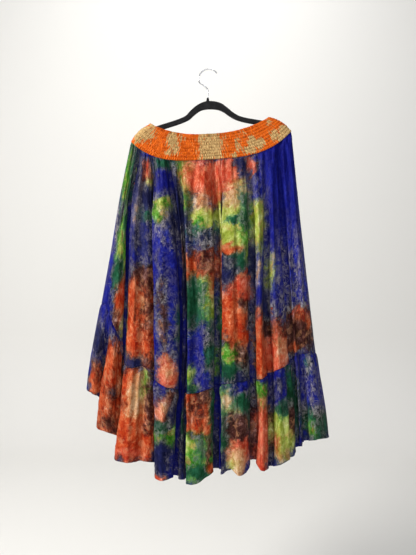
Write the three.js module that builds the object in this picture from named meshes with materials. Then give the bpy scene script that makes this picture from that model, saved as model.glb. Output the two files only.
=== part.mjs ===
import * as THREE from 'three';

// A sari skirt held by a slim hanger: a shirred waistband, a skirt that falls in deep folds and a
// gathered ruffle, each with a front and a back. Millimetres, +Z up, -Y to the front. The origin
// is the highest point inside the hook, where a rail carries the hanger.

// ---------------------------------------------------------------- driving dimensions

const CLOTH = 1.6; // wall of the skirt and the ruffle
const BAND_WALL = 2.0; // wall of the shirred waistband
const SEAM_GAP = 0.3; // left between pieces that are sewn together
const WAIST_GAP = 0.5; // under the band, whose facets are wider than the skirt's
const STEEPEST_SEAM = 4; // the gap is widened on a sloping seam, up to this slope

// Corners of the flattened waistband, as x and z. The hanger tilts, so the right side is higher.
const BAND_TOP_LEFT = new THREE.Vector2(-155, -146);
const BAND_TOP_RIGHT = new THREE.Vector2(163, -125);
const BAND_FOOT_LEFT = new THREE.Vector2(-207, -193);
const BAND_FOOT_RIGHT = new THREE.Vector2(222, -162);
const TOP_SAG = 37; // how far the band droops below the line of its upper corners
const FOOT_SAG = 62; // and below the line of its lower corners
const TOP_SAG_POWER = 2.4; // a higher power keeps the middle flatter
const FOOT_SAG_POWER = 3.6;
const SIDE_SWELL = 7; // the tip of the hanger swells the band's side fold
const SWELL_REACH = 60; // and the swelling fades over this width

const ELASTIC_ROWS = 9; // rows of elastic in the band
const PUFF_HIGH = 2.4; // height of the cloth puffs between the rows
const PUFF_LOW = 0.8;
const PUFF_FOOT = 0.15; // height left on the rows themselves
const TURN_STEPS = 4; // facets on the round turn at each side of the band
const BAND_FRONT_PUFFS = 38; // columns of puffs, high and low in turn
const BAND_BACK_PUFFS = 30;
const BAND_INSIDE_ROWS = 3; // steps down the plain inside

// Stations down the cloth: 0 at the waist seam, 1 at the ruffle seam and 2 at the hem.
const PANEL_STATIONS = [0, 0.35, 0.7, 1];
const LOOP_STATIONS = [0, 0.35, 0.7, 1, 2];
// The tube of cloth is flat. Each face bows out between the round turns at its two sides.
const FRONT_LOOP = { turn: [9, 20, 26, 30, 34], bow: [4, 14, 26, 34, 48] };
const BACK_LOOP = { turn: [9, 15, 18, 20, 24], bow: [4, 8, 10, 12, 15] };
// The folds deepen from nothing at the waist seam.
const FOLD_GROWTH = { at: [0, 0.1, 0.35, 0.7, 1], depth: [0, 0.34, 0.8, 1.02, 1.1] };
// Small gathers beside the two seams, as a height at each station.
const GATHERS = {
  at: [0, 0.04, 0.12, 0.22, 0.36, 1, 1.06, 1.16, 1.36, 1.6, 2],
  height: [0, 1.6, 2.2, 1.2, 0, 0, 0.9, 1.2, 0.5, 0, 0],
};
const GATHER_SHARE = 0.22; // of the space between two samples, at most
const RUFFLE_FLARE = 0.5; // 0 lets the ruffle widen evenly, 1 mostly below its seam
const MITRE_LIMIT = 0.75; // cosine of the sharpest half corner that keeps its full wall
const WIDE_FOLD = 24; // between fold lines further apart than this there is one more facet

const FRONT_ROWS = [0, 0.04, 0.11, 0.21, 0.33, 0.45, 0.57, 0.69, 0.8, 0.9, 1];
const BACK_ROWS = [0, 0.04, 0.12, 0.25, 0.4, 0.55, 0.7, 0.85, 1];
const FRONT_RUFFLE_ROWS = [1, 1.06, 1.16, 1.36, 1.6, 1.82, 2];
const BACK_RUFFLE_ROWS = [1, 1.07, 1.2, 1.45, 1.75, 2];

// Every fold line of the skirt, from the left side seam to the right one. A line runs from the
// waist seam down to the hem. The lift is how far it stands out of the bowed face: positive on a
// crest, negative in a valley. Where an edge lies left of the valley before it, the fold laps.
const FOLD_COLUMNS = ['waistX', 'upperX', 'lowerX', 'seamX', 'seamZ', 'hemX', 'hemZ', 'lift', 'hemLift', 'name'];

const FRONT_FOLDS = table(FOLD_COLUMNS, [
  [-207, -237, -262, -285, -626, -325, -858, 0, 0, 'left side seam'],
  [-202, -227, -247, -269, -626, -299, -860, 6, 14, 'side fold crest'],
  [-198, -221, -238, -258, -648, -273, -885, 8, -20, 'side fold back'],
  [-193, -217, -229, -248, -672, -287, -946, 8, 13, 'second ruffle fold edge'],
  [-188, -213, -221, -235, -701, -258, -955, 4, 22, 'second ruffle fold crest'],
  [-183, -209, -212, -218, -737, -217, -990, -12, -25, 'dark valley'],
  [-177, -203, -205, -212, -786, -237, -1026, 2, 17, 'third fold edge'],
  [-171, -192, -190, -191, -789, -203, -1029, 14, 28, 'third fold crest'],
  [-165, -175, -170, -167, -786, -171, -1030, 2, 10, 'third fold groove'],
  [-158, -158, -151, -149, -799, -146, -1028, 10, 14, 'third fold ridge'],
  [-152, -130, -119, -112, -817, -115, -1050, -18, -26, 'first lap, underneath'],
  [-145, -143, -135, -133, -817, -133, -1066, 12, 17, 'first lap, edge'],
  [-133, -121, -108, -105, -834, -113, -1069, 20, 29, 'blue fold crest'],
  [-119, -93, -76, -77, -841, -88, -1070, 10, 8, 'blue fold edge'],
  [-105, -77, -66, -69, -852, -80, -1076, -14, -16, 'left valley'],
  [-92, -69, -60, -61, -857, -68, -1078, -6, -4, 'left valley tuck'],
  [-79, -61, -54, -54, -858, -47, -1082, -10, -18, 'centre fold, underneath'],
  [-65, -54, -47, -47, -854, -49, -1083, 8, 10, 'centre fold edge'],
  [-42, -38, -27, -27, -853, -24, -1078, 4, 22, 'centre fold groove'],
  [-20, -14, -9, -6, -843, -3, -1065, 18, 20, 'centre fold crest'],
  [1, 11, 14, 16, -836, 16, -1055, 9, 4, 'centre fold slope'],
  [15, 25, 27, 27, -836, 26, -1053, -8, -12, 'middle valley'],
  [26, 35, 36, 36, -833, 36, -1050, -4, -6, 'middle valley tuck'],
  [35, 50, 55, 56, -832, 55, -1054, -16, -20, 'second lap, underneath'],
  [44, 39, 42, 42, -828, 42, -1055, 10, 14, 'second lap, edge'],
  [61, 58, 58, 60, -824, 63, -1042, 17, 8, 'right fold crest'],
  [79, 77, 76, 82, -822, 84, -1056, 15, 24, 'right fold crown'],
  [95, 98, 98, 103, -820, 105, -1053, 8, 12, 'right fold slope'],
  [110, 117, 119, 122, -820, 125, -1033, -12, -18, 'green edge valley'],
  [127, 134, 138, 143, -814, 146, -1046, 12, 18, 'fifth fold crest'],
  [149, 157, 157, 168, -804, 172, -1050, -8, -14, 'fifth fold valley'],
  [164, 173, 178, 189, -789, 192, -1032, 12, 22, 'sixth fold crest'],
  [178, 188, 198, 211, -781, 225, -1020, 3, 12, 'sixth fold slope'],
  [189, 201, 213, 226, -770, 246, -1005, -11, -18, 'right valley'],
  [198, 211, 223, 236, -758, 250, -988, -5, -6, 'right valley tuck'],
  [206, 221, 235, 249, -755, 267, -988, -6, -18, 'last fold, underneath'],
  [214, 232, 250, 268, -750, 286, -974, 8, 20, 'last fold crest'],
  [222, 246, 272, 295, -753, 334, -982, 0, 0, 'right side seam'],
]);

const BACK_FOLDS = table(FOLD_COLUMNS, [
  [-207, -237, -262, -285, -626, -325, -858, 0, 0, 'left side seam'],
  [-197, -221, -240, -258, -648, -292, -902, 6, 12, 'left back crest'],
  [-184, -203, -219, -232, -700, -258, -975, -8, -14, 'left back valley'],
  [-167, -184, -196, -204, -745, -226, -1015, 12, 18, 'second back crest'],
  [-150, -163, -170, -178, -775, -190, -1030, 2, 4, 'second back groove'],
  [-132, -140, -146, -152, -795, -160, -1040, -10, -14, 'second back valley'],
  [-112, -117, -120, -124, -812, -128, -1050, 14, 20, 'third back crest'],
  [-90, -89, -92, -92, -824, -92, -1057, -8, -12, 'third back valley'],
  [-68, -58, -56, -54, -832, -52, -1062, -13, -17, 'back lap, underneath'],
  [-56, -64, -70, -70, -832, -74, -1064, 8, 10, 'back lap, edge'],
  [-38, -40, -42, -42, -836, -44, -1066, 15, 20, 'middle back crest'],
  [-12, -10, -8, -6, -836, -4, -1064, 6, 8, 'middle back slope'],
  [10, 17, 20, 22, -834, 24, -1060, -10, -13, 'middle back valley'],
  [26, 32, 36, 38, -833, 41, -1058, -3, -4, 'middle back tuck'],
  [41, 47, 51, 54, -831, 57, -1056, -10, -14, 'fifth back valley'],
  [60, 65, 69, 74, -828, 78, -1054, 14, 18, 'fifth back crest'],
  [80, 85, 91, 96, -821, 101, -1050, 5, 8, 'fifth back groove'],
  [98, 106, 112, 118, -813, 125, -1043, -10, -14, 'sixth back valley'],
  [119, 128, 136, 143, -803, 151, -1035, 12, 18, 'sixth back crest'],
  [141, 152, 162, 170, -790, 182, -1025, -8, -12, 'seventh back valley'],
  [161, 174, 186, 197, -780, 213, -1013, 12, 16, 'seventh back crest'],
  [181, 196, 210, 224, -768, 245, -1000, -8, -14, 'right back valley'],
  [203, 221, 241, 261, -758, 287, -988, 7, 13, 'right back crest'],
  [222, 246, 272, 295, -753, 334, -982, 0, 0, 'right side seam'],
]);

// The hanger's body: the middle line of its outline and its depth there.
const HANGER_THICKNESS = 5.6;
const HANGER_BEVEL = 1.2;
const HANGER_STEPS = 40;
const HANGER_COLUMNS = ['x', 'z', 'depth'];
const HANGER_LINE = table(HANGER_COLUMNS, [
  [-192, -182.3, 8],
  [-180, -173, 12],
  [-142, -159, 14],
  [-58, -129, 15],
  [-42, -114, 17],
  [-25, -101, 19],
  [-3, -94, 23],
  [27, -96.5, 21],
  [45, -106, 17],
  [63, -119, 15],
  [84, -129, 14],
  [144, -140.5, 14],
  [192, -149, 12],
  [205, -156.5, 8],
]);
const COLLAR = { x: -2, top: -75, bottomWidth: 11, topWidth: 6 };

const WIRE = 3.4; // wire of the hook
const HOOK_RADIUS = 24.5; // inside of the loop
const HOOK_END_ANGLE = 33; // degrees above level, on the right
const HOOK_TURN_ANGLE = 203; // where the loop leaves for the neck, on the left
const HOOK_ARC_STEP = 22; // degrees between points on the loop
const HOOK_STEM = table(['x', 'z'], [
  [-2, -57],
  [-3.5, -51],
  [-13, -42.1],
]);
const HOOK_SIDES = 8;
const HOOK_STEPS = 30;

// ---------------------------------------------------------------- small helpers

function table(columns, rows) {
  return rows.map((row) => Object.fromEntries(columns.map((column, i) => [column, row[i]])));
}

const { lerp, clamp, degToRad } = THREE.MathUtils;

function smoothTrack(at, values) {
  const track = new THREE.CubicInterpolant(at, values, 1);
  return (v) => track.evaluate(v)[0];
}

function straightTrack(at, values) {
  const track = new THREE.LinearInterpolant(at, values, 1);
  return (v) => track.evaluate(v)[0];
}

// A closed wall between an outer and an inner grid of points. Both have the same columns, from
// left to right. Their rows run from top to bottom, and the inner grid may have fewer of them.
function wallGeometry(outer, inner, facesBack) {
  const points = [...outer.flat(), ...inner.flat()];
  const columns = outer[0].length;
  const outerIndex = (row, column) => row * columns + column;
  const innerIndex = (row, column) => (outer.length + row) * columns + column;
  const triangles = [];

  const face = (index, rows, turned) => {
    for (let row = 0; row < rows - 1; row++) {
      for (let column = 0; column < columns - 1; column++) {
        const topLeft = index(row, column);
        const topRight = index(row, column + 1);
        const footLeft = index(row + 1, column);
        const footRight = index(row + 1, column + 1);
        triangles.push(turned ? [topLeft, footRight, footLeft] : [topLeft, footLeft, footRight]);
        triangles.push(turned ? [topLeft, topRight, footRight] : [topLeft, footRight, topRight]);
      }
    }
  };
  face(outerIndex, outer.length, false);
  face(innerIndex, inner.length, true);

  // An edge strip walks along two lines of points at once, always on the one that lags behind.
  // The foot of one piece and the top of the next are split along the same diagonals, so that
  // two faces that meet at a seam stay parallel.
  const edge = (near, far, farFirst = false) => {
    const nearSteps = near.length - 1;
    const farSteps = far.length - 1;
    let i = 0;
    let j = 0;
    while (i < nearSteps || j < farSteps) {
      const nearLag = (i + 1) * farSteps - (j + 1) * nearSteps;
      const nearNext = farFirst ? nearLag < 0 : nearLag <= 0;
      if (i < nearSteps && (nearNext || j === farSteps)) {
        triangles.push([near[i], near[i + 1], far[j]]);
        i++;
      } else {
        triangles.push([near[i], far[j + 1], far[j]]);
        j++;
      }
    }
  };
  const acrossRow = (index, row) => Array.from({ length: columns }, (_, column) => index(row, column));
  const downColumn = (index, rows, column) => Array.from({ length: rows }, (_, row) => index(row, column));
  const last = columns - 1;
  edge(acrossRow(outerIndex, 0), acrossRow(innerIndex, 0));
  edge(downColumn(outerIndex, outer.length, last), downColumn(innerIndex, inner.length, last));
  edge(acrossRow(outerIndex, outer.length - 1).reverse(), acrossRow(innerIndex, inner.length - 1).reverse(), true);
  edge(downColumn(outerIndex, outer.length, 0).reverse(), downColumn(innerIndex, inner.length, 0).reverse());

  const side = facesBack ? -1 : 1;
  const geometry = new THREE.BufferGeometry();
  const position = points.flatMap((point) => [point.x, point.y * side, point.z]);
  geometry.setAttribute('position', new THREE.Float32BufferAttribute(position, 3));
  geometry.setIndex(triangles.flatMap(([a, b, c]) => (facesBack ? [a, c, b] : [a, b, c])));
  geometry.computeVertexNormals();
  return geometry;
}

// Level directions that point out of the cloth, one for each point of a row. The ends of a row
// meet the other half of the tube, so there they point straight to the side.
function outwardDirections(row) {
  return row.map((point, i) => {
    if (i === 0) return new THREE.Vector3(-1, 0, 0);
    if (i === row.length - 1) return new THREE.Vector3(1, 0, 0);
    const before = level(row[i - 1], point);
    const after = level(point, row[i + 1]);
    const along = before.clone().add(after).normalize();
    const mitre = 1 / Math.max(along.dot(after), MITRE_LIMIT);
    return new THREE.Vector3(along.y, -along.x, 0).multiplyScalar(mitre);
  });
}

function level(from, to) {
  return new THREE.Vector3(to.x - from.x, to.y - from.y, 0).normalize();
}

function movedOut(row, directions, distances) {
  return row.map((point, i) => point.clone().addScaledVector(directions[i], distances[i]));
}

// A row of points moved down so that a level-cut gap is left above it, also where it slopes.
function droppedBelowSeam(row, gap) {
  return row.map((point, i) => {
    const slopes = [row[i - 1], row[i + 1]].filter(Boolean).map((beside) => {
      const run = Math.hypot(beside.x - point.x, beside.y - point.y);
      return Math.min(Math.abs(beside.z - point.z) / run, STEEPEST_SEAM);
    });
    return new THREE.Vector3(point.x, point.y, point.z - gap * Math.hypot(1, ...slopes));
  });
}

// ---------------------------------------------------------------- skirt and ruffle

// Height of the band's upper or lower edge at a place across it.
function edgeHeight(left, right, sag, power, x) {
  const across = (x - left.x) / (right.x - left.x);
  const fromMiddle = clamp(Math.abs(2 * across - 1), 0, 1);
  return lerp(left.y, right.y, across) - sag * (1 - fromMiddle ** power);
}

const bandTopHeight = (x) => edgeHeight(BAND_TOP_LEFT, BAND_TOP_RIGHT, TOP_SAG, TOP_SAG_POWER, x);
const bandFootHeight = (x) => edgeHeight(BAND_FOOT_LEFT, BAND_FOOT_RIGHT, FOOT_SAG, FOOT_SAG_POWER, x);

const foldGrowth = smoothTrack(FOLD_GROWTH.at, FOLD_GROWTH.depth);
const gatherHeight = straightTrack(GATHERS.at, GATHERS.height);

function foldTracks(fold) {
  const panelX = smoothTrack(PANEL_STATIONS, [fold.waistX, fold.upperX, fold.lowerX, fold.seamX]);
  const waistZ = bandFootHeight(fold.waistX);
  const seamLift = fold.lift * foldGrowth(1);
  return (v) => {
    if (v <= 1) {
      return { x: panelX(v), z: lerp(waistZ, fold.seamZ, v), lift: fold.lift * foldGrowth(v) };
    }
    const w = v - 1;
    const opened = Math.sin((w * Math.PI) / 2); // the ruffle flares soon below its seam
    return {
      x: lerp(fold.seamX, fold.hemX, lerp(w, opened, RUFFLE_FLARE)),
      z: lerp(fold.seamZ, fold.hemZ, w),
      lift: lerp(seamLift, fold.hemLift, opened),
    };
  };
}

// Half of the tube of cloth: its fold lines, how it bows, and points round it at any station.
function clothHalf(folds, loop) {
  const lines = folds.map(foldTracks);
  const turnAt = straightTrack(LOOP_STATIONS, loop.turn);
  const bowAt = straightTrack(LOOP_STATIONS, loop.bow);
  const facets = folds.slice(1).map((fold, i) => {
    const before = folds[i];
    const apart = Math.hypot(fold.hemX - before.hemX, fold.hemLift - before.hemLift);
    return apart > WIDE_FOLD ? 3 : 2;
  });

  return (v) => {
    const stops = lines.map((line) => line(v));
    const left = stops[0].x;
    const right = stops.at(-1).x;
    const points = stops.map(({ x, z, lift }) => {
      const fromSide = Math.min(x - left, right - x, turnAt(v));
      const turned = Math.sqrt(turnAt(v) ** 2 - (turnAt(v) - fromSide) ** 2);
      const across = (2 * (x - left)) / (right - left) - 1;
      const y = -turned - bowAt(v) * (1 - across ** 2) - lift;
      return new THREE.Vector3(x, y, z);
    });
    const mirrored = (point) => new THREE.Vector3(point.x, -point.y, point.z);
    const guide = [mirrored(points[1]), ...points, mirrored(points.at(-2))];
    const curve = new THREE.CatmullRomCurve3(guide, false, 'centripetal');
    const row = facets.flatMap((steps, i) =>
      Array.from({ length: steps }, (_, step) => curve.getPoint((i + 1 + step / steps) / (guide.length - 1))),
    );
    row.push(points.at(-1).clone());
    return row.map((point) => point.setY(point.y - SEAM_GAP / 2));
  };
}

// Small gathers: every second point stands out and the others sink in.
function gathered(row, directions, height) {
  const heights = row.map((point, i) => {
    if (i === 0 || i === row.length - 1) return 0;
    const space = Math.min(point.distanceTo(row[i - 1]), point.distanceTo(row[i + 1]));
    return Math.min(height, space * GATHER_SHARE) * (i % 2 ? 1 : -1);
  });
  return movedOut(row, directions, heights);
}

function clothGeometry(half, rows, facesBack) {
  const outer = [];
  const inner = [];
  rows.forEach((v, i) => {
    const plain = i === 0 ? droppedBelowSeam(half(v), v === 0 ? WAIST_GAP : SEAM_GAP) : half(v);
    const directions = outwardDirections(plain);
    const row = gathered(plain, directions, gatherHeight(v));
    outer.push(row);
    inner.push(movedOut(row, directions, row.map(() => -CLOTH)));
  });
  return wallGeometry(outer, inner, facesBack);
}

// ---------------------------------------------------------------- waistband

// Stops round half of the band: a quarter turn at each side and even steps between them.
function bandStops(puffs) {
  const turn = FRONT_LOOP.turn[0];
  const quarter = Array.from({ length: TURN_STEPS }, (_, i) => (i * Math.PI) / 2 / TURN_STEPS);
  const leftTurn = quarter.map((angle) => ({
    side: 'left', fromSide: turn * (1 - Math.cos(angle)), depth: turn * Math.sin(angle),
  }));
  const face = Array.from({ length: puffs + 1 }, (_, i) => ({ side: 'none', share: i / puffs, depth: turn }));
  const rightTurn = leftTurn.map((stop) => ({ ...stop, side: 'right' })).reverse();
  return [...leftTurn, ...face, ...rightTurn];
}

function bandRow(stops, down) {
  const turn = FRONT_LOOP.turn[0];
  const place = (stop, left, right) => {
    if (stop.side === 'left') return left + stop.fromSide;
    if (stop.side === 'right') return right - stop.fromSide;
    return lerp(left + turn, right - turn, stop.share);
  };
  const swell = 4 * down * (1 - down) * SIDE_SWELL;
  const leftOut = outOfSide(BAND_TOP_LEFT, BAND_FOOT_LEFT, -1);
  const rightOut = outOfSide(BAND_TOP_RIGHT, BAND_FOOT_RIGHT, 1);
  return stops.map((stop) => {
    const topX = place(stop, BAND_TOP_LEFT.x, BAND_TOP_RIGHT.x);
    const footX = place(stop, BAND_FOOT_LEFT.x, BAND_FOOT_RIGHT.x);
    const x = lerp(topX, footX, down);
    const z = lerp(bandTopHeight(topX), bandFootHeight(footX), down);
    const left = lerp(BAND_TOP_LEFT.x, BAND_FOOT_LEFT.x, down);
    const right = lerp(BAND_TOP_RIGHT.x, BAND_FOOT_RIGHT.x, down);
    const across = (2 * (x - left)) / (right - left) - 1;
    const y = -stop.depth - FRONT_LOOP.bow[0] * (1 - across ** 2) - SEAM_GAP / 2;
    const leftFade = clamp(1 - (x - left) / SWELL_REACH, 0, 1) ** 2;
    const rightFade = clamp(1 - (right - x) / SWELL_REACH, 0, 1) ** 2;
    const moved = leftOut.clone().multiplyScalar(leftFade).addScaledVector(rightOut, rightFade);
    return new THREE.Vector3(x + moved.x * swell, y, z + moved.y * swell);
  });
}

// Square to the slanting side fold of the band, away from its middle.
function outOfSide(top, foot, sign) {
  const down = foot.clone().sub(top).normalize();
  return new THREE.Vector2(-sign * down.y, sign * down.x);
}

// The outside is shirred: puffs of cloth stand between the rows of elastic. The inside is plain.
function bandGeometry(puffs, facesBack) {
  const stops = bandStops(puffs);
  const outerRows = 2 * ELASTIC_ROWS;
  const outer = Array.from({ length: outerRows + 1 }, (_, i) => {
    const row = bandRow(stops, i / outerRows);
    const directions = outwardDirections(row);
    const onElastic = i % 2 === 0 && i > 0;
    const heights = row.map((_, column) => {
      if (onElastic || column === 0 || column === row.length - 1) return PUFF_FOOT;
      return (column + Math.floor(i / 2)) % 2 ? PUFF_HIGH : PUFF_LOW;
    });
    return movedOut(row, directions, heights);
  });
  const inner = Array.from({ length: BAND_INSIDE_ROWS + 1 }, (_, i) => {
    const row = bandRow(stops, i / BAND_INSIDE_ROWS);
    return movedOut(row, outwardDirections(row), row.map(() => -BAND_WALL));
  });
  return wallGeometry(outer, inner, facesBack);
}

// ---------------------------------------------------------------- hanger

function hangerBodyGeometry() {
  const middle = new THREE.CatmullRomCurve3(HANGER_LINE.map(({ x, z }) => new THREE.Vector3(x, z, 0)));
  const depthAt = smoothTrack(HANGER_LINE.map((_, i) => i / (HANGER_LINE.length - 1)), HANGER_LINE.map((row) => row.depth));
  const bevelled = (depth) => depth / 2 - HANGER_BEVEL;
  const top = [];
  const foot = [];
  for (let i = 0; i <= HANGER_STEPS; i++) {
    const t = i / HANGER_STEPS;
    const point = middle.getPoint(t);
    const along = middle.getTangent(t);
    const reach = bevelled(depthAt(t));
    top.push(new THREE.Vector2(point.x - along.y * reach, point.y + along.x * reach));
    foot.push(new THREE.Vector2(point.x + along.y * reach, point.y - along.x * reach));
  }
  const nearCollar = (point) => Math.abs(point.x - COLLAR.x) < COLLAR.bottomWidth;
  const collarAt = top.findIndex(nearCollar);
  const collarBase = Math.max(...top.map((point) => point.y)) - HANGER_BEVEL;
  const collar = [
    new THREE.Vector2(COLLAR.x - COLLAR.bottomWidth / 2, collarBase),
    new THREE.Vector2(COLLAR.x - COLLAR.topWidth / 2 + HANGER_BEVEL, COLLAR.top - HANGER_BEVEL),
    new THREE.Vector2(COLLAR.x + COLLAR.topWidth / 2 - HANGER_BEVEL, COLLAR.top - HANGER_BEVEL),
    new THREE.Vector2(COLLAR.x + COLLAR.bottomWidth / 2, collarBase),
  ];
  const withCollar = [...top.slice(0, collarAt), ...collar, ...top.slice(collarAt).filter((point) => !nearCollar(point))];
  const outline = new THREE.Shape([...foot, ...withCollar.reverse()]);
  const geometry = new THREE.ExtrudeGeometry(outline, {
    depth: HANGER_THICKNESS - 2 * HANGER_BEVEL, steps: 1,
    bevelEnabled: true, bevelThickness: HANGER_BEVEL, bevelSize: HANGER_BEVEL, bevelSegments: 1,
  });
  geometry.translate(0, 0, HANGER_BEVEL - HANGER_THICKNESS / 2);
  return geometry.rotateX(Math.PI / 2);
}

function hookGeometry() {
  const radius = HOOK_RADIUS + WIRE / 2;
  const loop = [];
  for (let angle = HOOK_TURN_ANGLE; angle > HOOK_END_ANGLE; angle -= HOOK_ARC_STEP) {
    const turn = degToRad(angle);
    loop.push(new THREE.Vector3(radius * Math.cos(turn), 0, radius * Math.sin(turn) - HOOK_RADIUS));
  }
  const foot = new THREE.Vector3(COLLAR.x, 0, COLLAR.top + SEAM_GAP);
  const stem = HOOK_STEM.map(({ x, z }) => new THREE.Vector3(x, 0, z));
  const path = new THREE.CatmullRomCurve3([foot, ...stem, ...loop], false, 'centripetal');
  const round = new THREE.Shape();
  for (let i = 0; i < HOOK_SIDES; i++) {
    const angle = ((i + 0.5) * 2 * Math.PI) / HOOK_SIDES;
    const corner = [(WIRE / 2) * Math.cos(angle), (WIRE / 2) * Math.sin(angle)];
    if (i === 0) round.moveTo(...corner);
    else round.lineTo(...corner);
  }
  return new THREE.ExtrudeGeometry(round, { steps: HOOK_STEPS, extrudePath: path, bevelEnabled: false });
}

// ---------------------------------------------------------------- the whole part

const frontHalf = clothHalf(FRONT_FOLDS, FRONT_LOOP);
const backHalf = clothHalf(BACK_FOLDS, BACK_LOOP);

const crumpledCloth = { color: 0x2f3a78, roughness: 0.72, metalness: 0 };
const ruffleCloth = { color: 0xb4532c, roughness: 0.72, metalness: 0 };
const shirredCloth = { color: 0xd9661f, roughness: 0.85, metalness: 0 };
const flock = { color: 0x0b0b0c, roughness: 0.95, metalness: 0 };
const chrome = { color: 0xc9ccd0, roughness: 0.18, metalness: 1 };

const pieces = [
  ['hanger_hook', hookGeometry(), chrome],
  ['hanger_body', hangerBodyGeometry(), flock],
  ['waistband_front', bandGeometry(BAND_FRONT_PUFFS, false), shirredCloth],
  ['waistband_back', bandGeometry(BAND_BACK_PUFFS, true), shirredCloth],
  ['skirt_front', clothGeometry(frontHalf, FRONT_ROWS, false), crumpledCloth],
  ['skirt_back', clothGeometry(backHalf, BACK_ROWS, true), crumpledCloth],
  ['ruffle_front', clothGeometry(frontHalf, FRONT_RUFFLE_ROWS, false), ruffleCloth],
  ['ruffle_back', clothGeometry(backHalf, BACK_RUFFLE_ROWS, true), ruffleCloth],
];

const skirtOnHanger = new THREE.Group();
for (const [name, geometry, finish] of pieces) {
  const mesh = new THREE.Mesh(geometry, new THREE.MeshStandardMaterial(finish));
  mesh.name = name;
  skirtOnHanger.add(mesh);
}

export default skirtOnHanger;
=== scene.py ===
# %% [markdown]
# A crumple-dyed sari skirt, hung by its shirred waistband from a slim flocked hanger. The solids
# give the true form of every piece. Here each cloth piece is made again as a thin sheet on that
# form, with its gathers, creases, rolled hem and stitches, and then it gets its dye.
#
# All lengths in the tables are millimetres, as a maker would write them down. MM turns them
# into Blender's metres. +X is to the right, -Y to the front and +Z up. The origin is the
# highest point inside the hook.

# %% Start
import math

import bpy
import numpy as np
from mathutils import Matrix, Vector


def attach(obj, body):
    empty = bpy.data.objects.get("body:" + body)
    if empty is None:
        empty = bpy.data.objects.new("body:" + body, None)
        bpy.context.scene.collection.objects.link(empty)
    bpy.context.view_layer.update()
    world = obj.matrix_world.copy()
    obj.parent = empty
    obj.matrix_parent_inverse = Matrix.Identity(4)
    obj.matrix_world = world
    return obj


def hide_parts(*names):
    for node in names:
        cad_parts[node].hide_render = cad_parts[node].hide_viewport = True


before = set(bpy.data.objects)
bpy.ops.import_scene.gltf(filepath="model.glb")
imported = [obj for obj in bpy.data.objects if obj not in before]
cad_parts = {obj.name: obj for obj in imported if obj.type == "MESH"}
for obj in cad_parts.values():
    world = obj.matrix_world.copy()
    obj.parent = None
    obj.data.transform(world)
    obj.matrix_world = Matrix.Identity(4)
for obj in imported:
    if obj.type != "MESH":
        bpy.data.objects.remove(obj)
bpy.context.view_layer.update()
MM = 0.001
print("solids:", sorted(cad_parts))

# %% [markdown]
# The camera stands about a metre and a half in front, level with the middle of the skirt. It
# looks down by two degrees and is turned by half a degree, as a hand-held one would be. The
# lens is long enough for a full skirt to fill the height of an upright frame. The plain view
# transform keeps the dyes as vivid as they were mixed.

# %% Camera
STAND = Vector((2.2, -1500, -502))
TILT = math.radians(88)  # 90 would look level
TURN = math.radians(0.45)
camera_data = bpy.data.cameras.new("camera")
camera_data.sensor_width = 36.0
camera_data.lens = 36.04
camera = bpy.data.objects.new("camera", camera_data)
bpy.context.scene.collection.objects.link(camera)
tilted = Matrix.Rotation(TILT, 4, "X") @ Matrix.Rotation(TURN, 4, "Z")
camera.matrix_world = Matrix.Translation(STAND * MM) @ tilted
bpy.context.scene.camera = camera
bpy.context.scene.view_settings.view_transform = "Standard"
print("camera stands", round(STAND.length), "mm from the hook")

# %% [markdown]
# Cloth shows its folds by soft shade, so a strong light stands high on the left and a wide one in
# front keeps the dye bright down in the valleys. A faint one on the right only lifts the darkest
# edge, and the last one whitens the backdrop. Each light is given by its place, what it is aimed
# at, its width and its power.

# %% Lights
def area_light(name, place, aim, width, power, colour):
    data = bpy.data.lights.new(name, "AREA")
    data.size = width * MM
    data.energy = power
    data.color = colour
    light = bpy.data.objects.new(name, data)
    light.location = Vector(place) * MM
    light.rotation_euler = (Vector(aim) - Vector(place)).to_track_quat("-Z", "Y").to_euler()
    bpy.context.scene.collection.objects.link(light)


MID_SKIRT = (0, 0, -600)
area_light("key", (-1800, -1200, 700), MID_SKIRT, 800, 78, (1.0, 0.98, 0.95))
area_light("fill", (1900, -1600, -400), MID_SKIRT, 1400, 1, (0.95, 0.97, 1.0))
area_light("front", (100, -2600, 100), MID_SKIRT, 1200, 27, (1.0, 1.0, 1.0))
area_light("backdrop_light", (0, 700, 1700), (0, 2100, -400), 1600, 25, (1.0, 1.0, 1.0))

world = bpy.data.worlds.new("studio")
bpy.context.scene.world = world
world.use_nodes = True
sky = world.node_tree.nodes["Background"].inputs
sky["Color"].default_value = (0.93, 0.95, 1.0, 1)
sky["Strength"].default_value = 0.3
print("lights:", [light.name for light in bpy.data.lights])

# %% [markdown]
# Every mesh below is made from points and faces, because folds, loops and stitches all come from
# formulas and tables. One helper turns the points into Blender's metres and shades them smooth.
# The floor uses it first: it curves up into the backdrop, so no line runs behind the hem.

# %% Mesh helper and stage
def new_piece(name, points, faces):
    """An object made from points in millimetres."""
    mesh = bpy.data.meshes.new(name)
    mesh.from_pydata((np.asarray(points) * MM).tolist(), [], faces)
    mesh.shade_smooth()
    piece = bpy.data.objects.new(name, mesh)
    bpy.context.scene.collection.objects.link(piece)
    return piece


FLOOR_Z = -1600
WALL_Y = 2100
CURVE = 600
HALF_WIDTH = 7000


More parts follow.
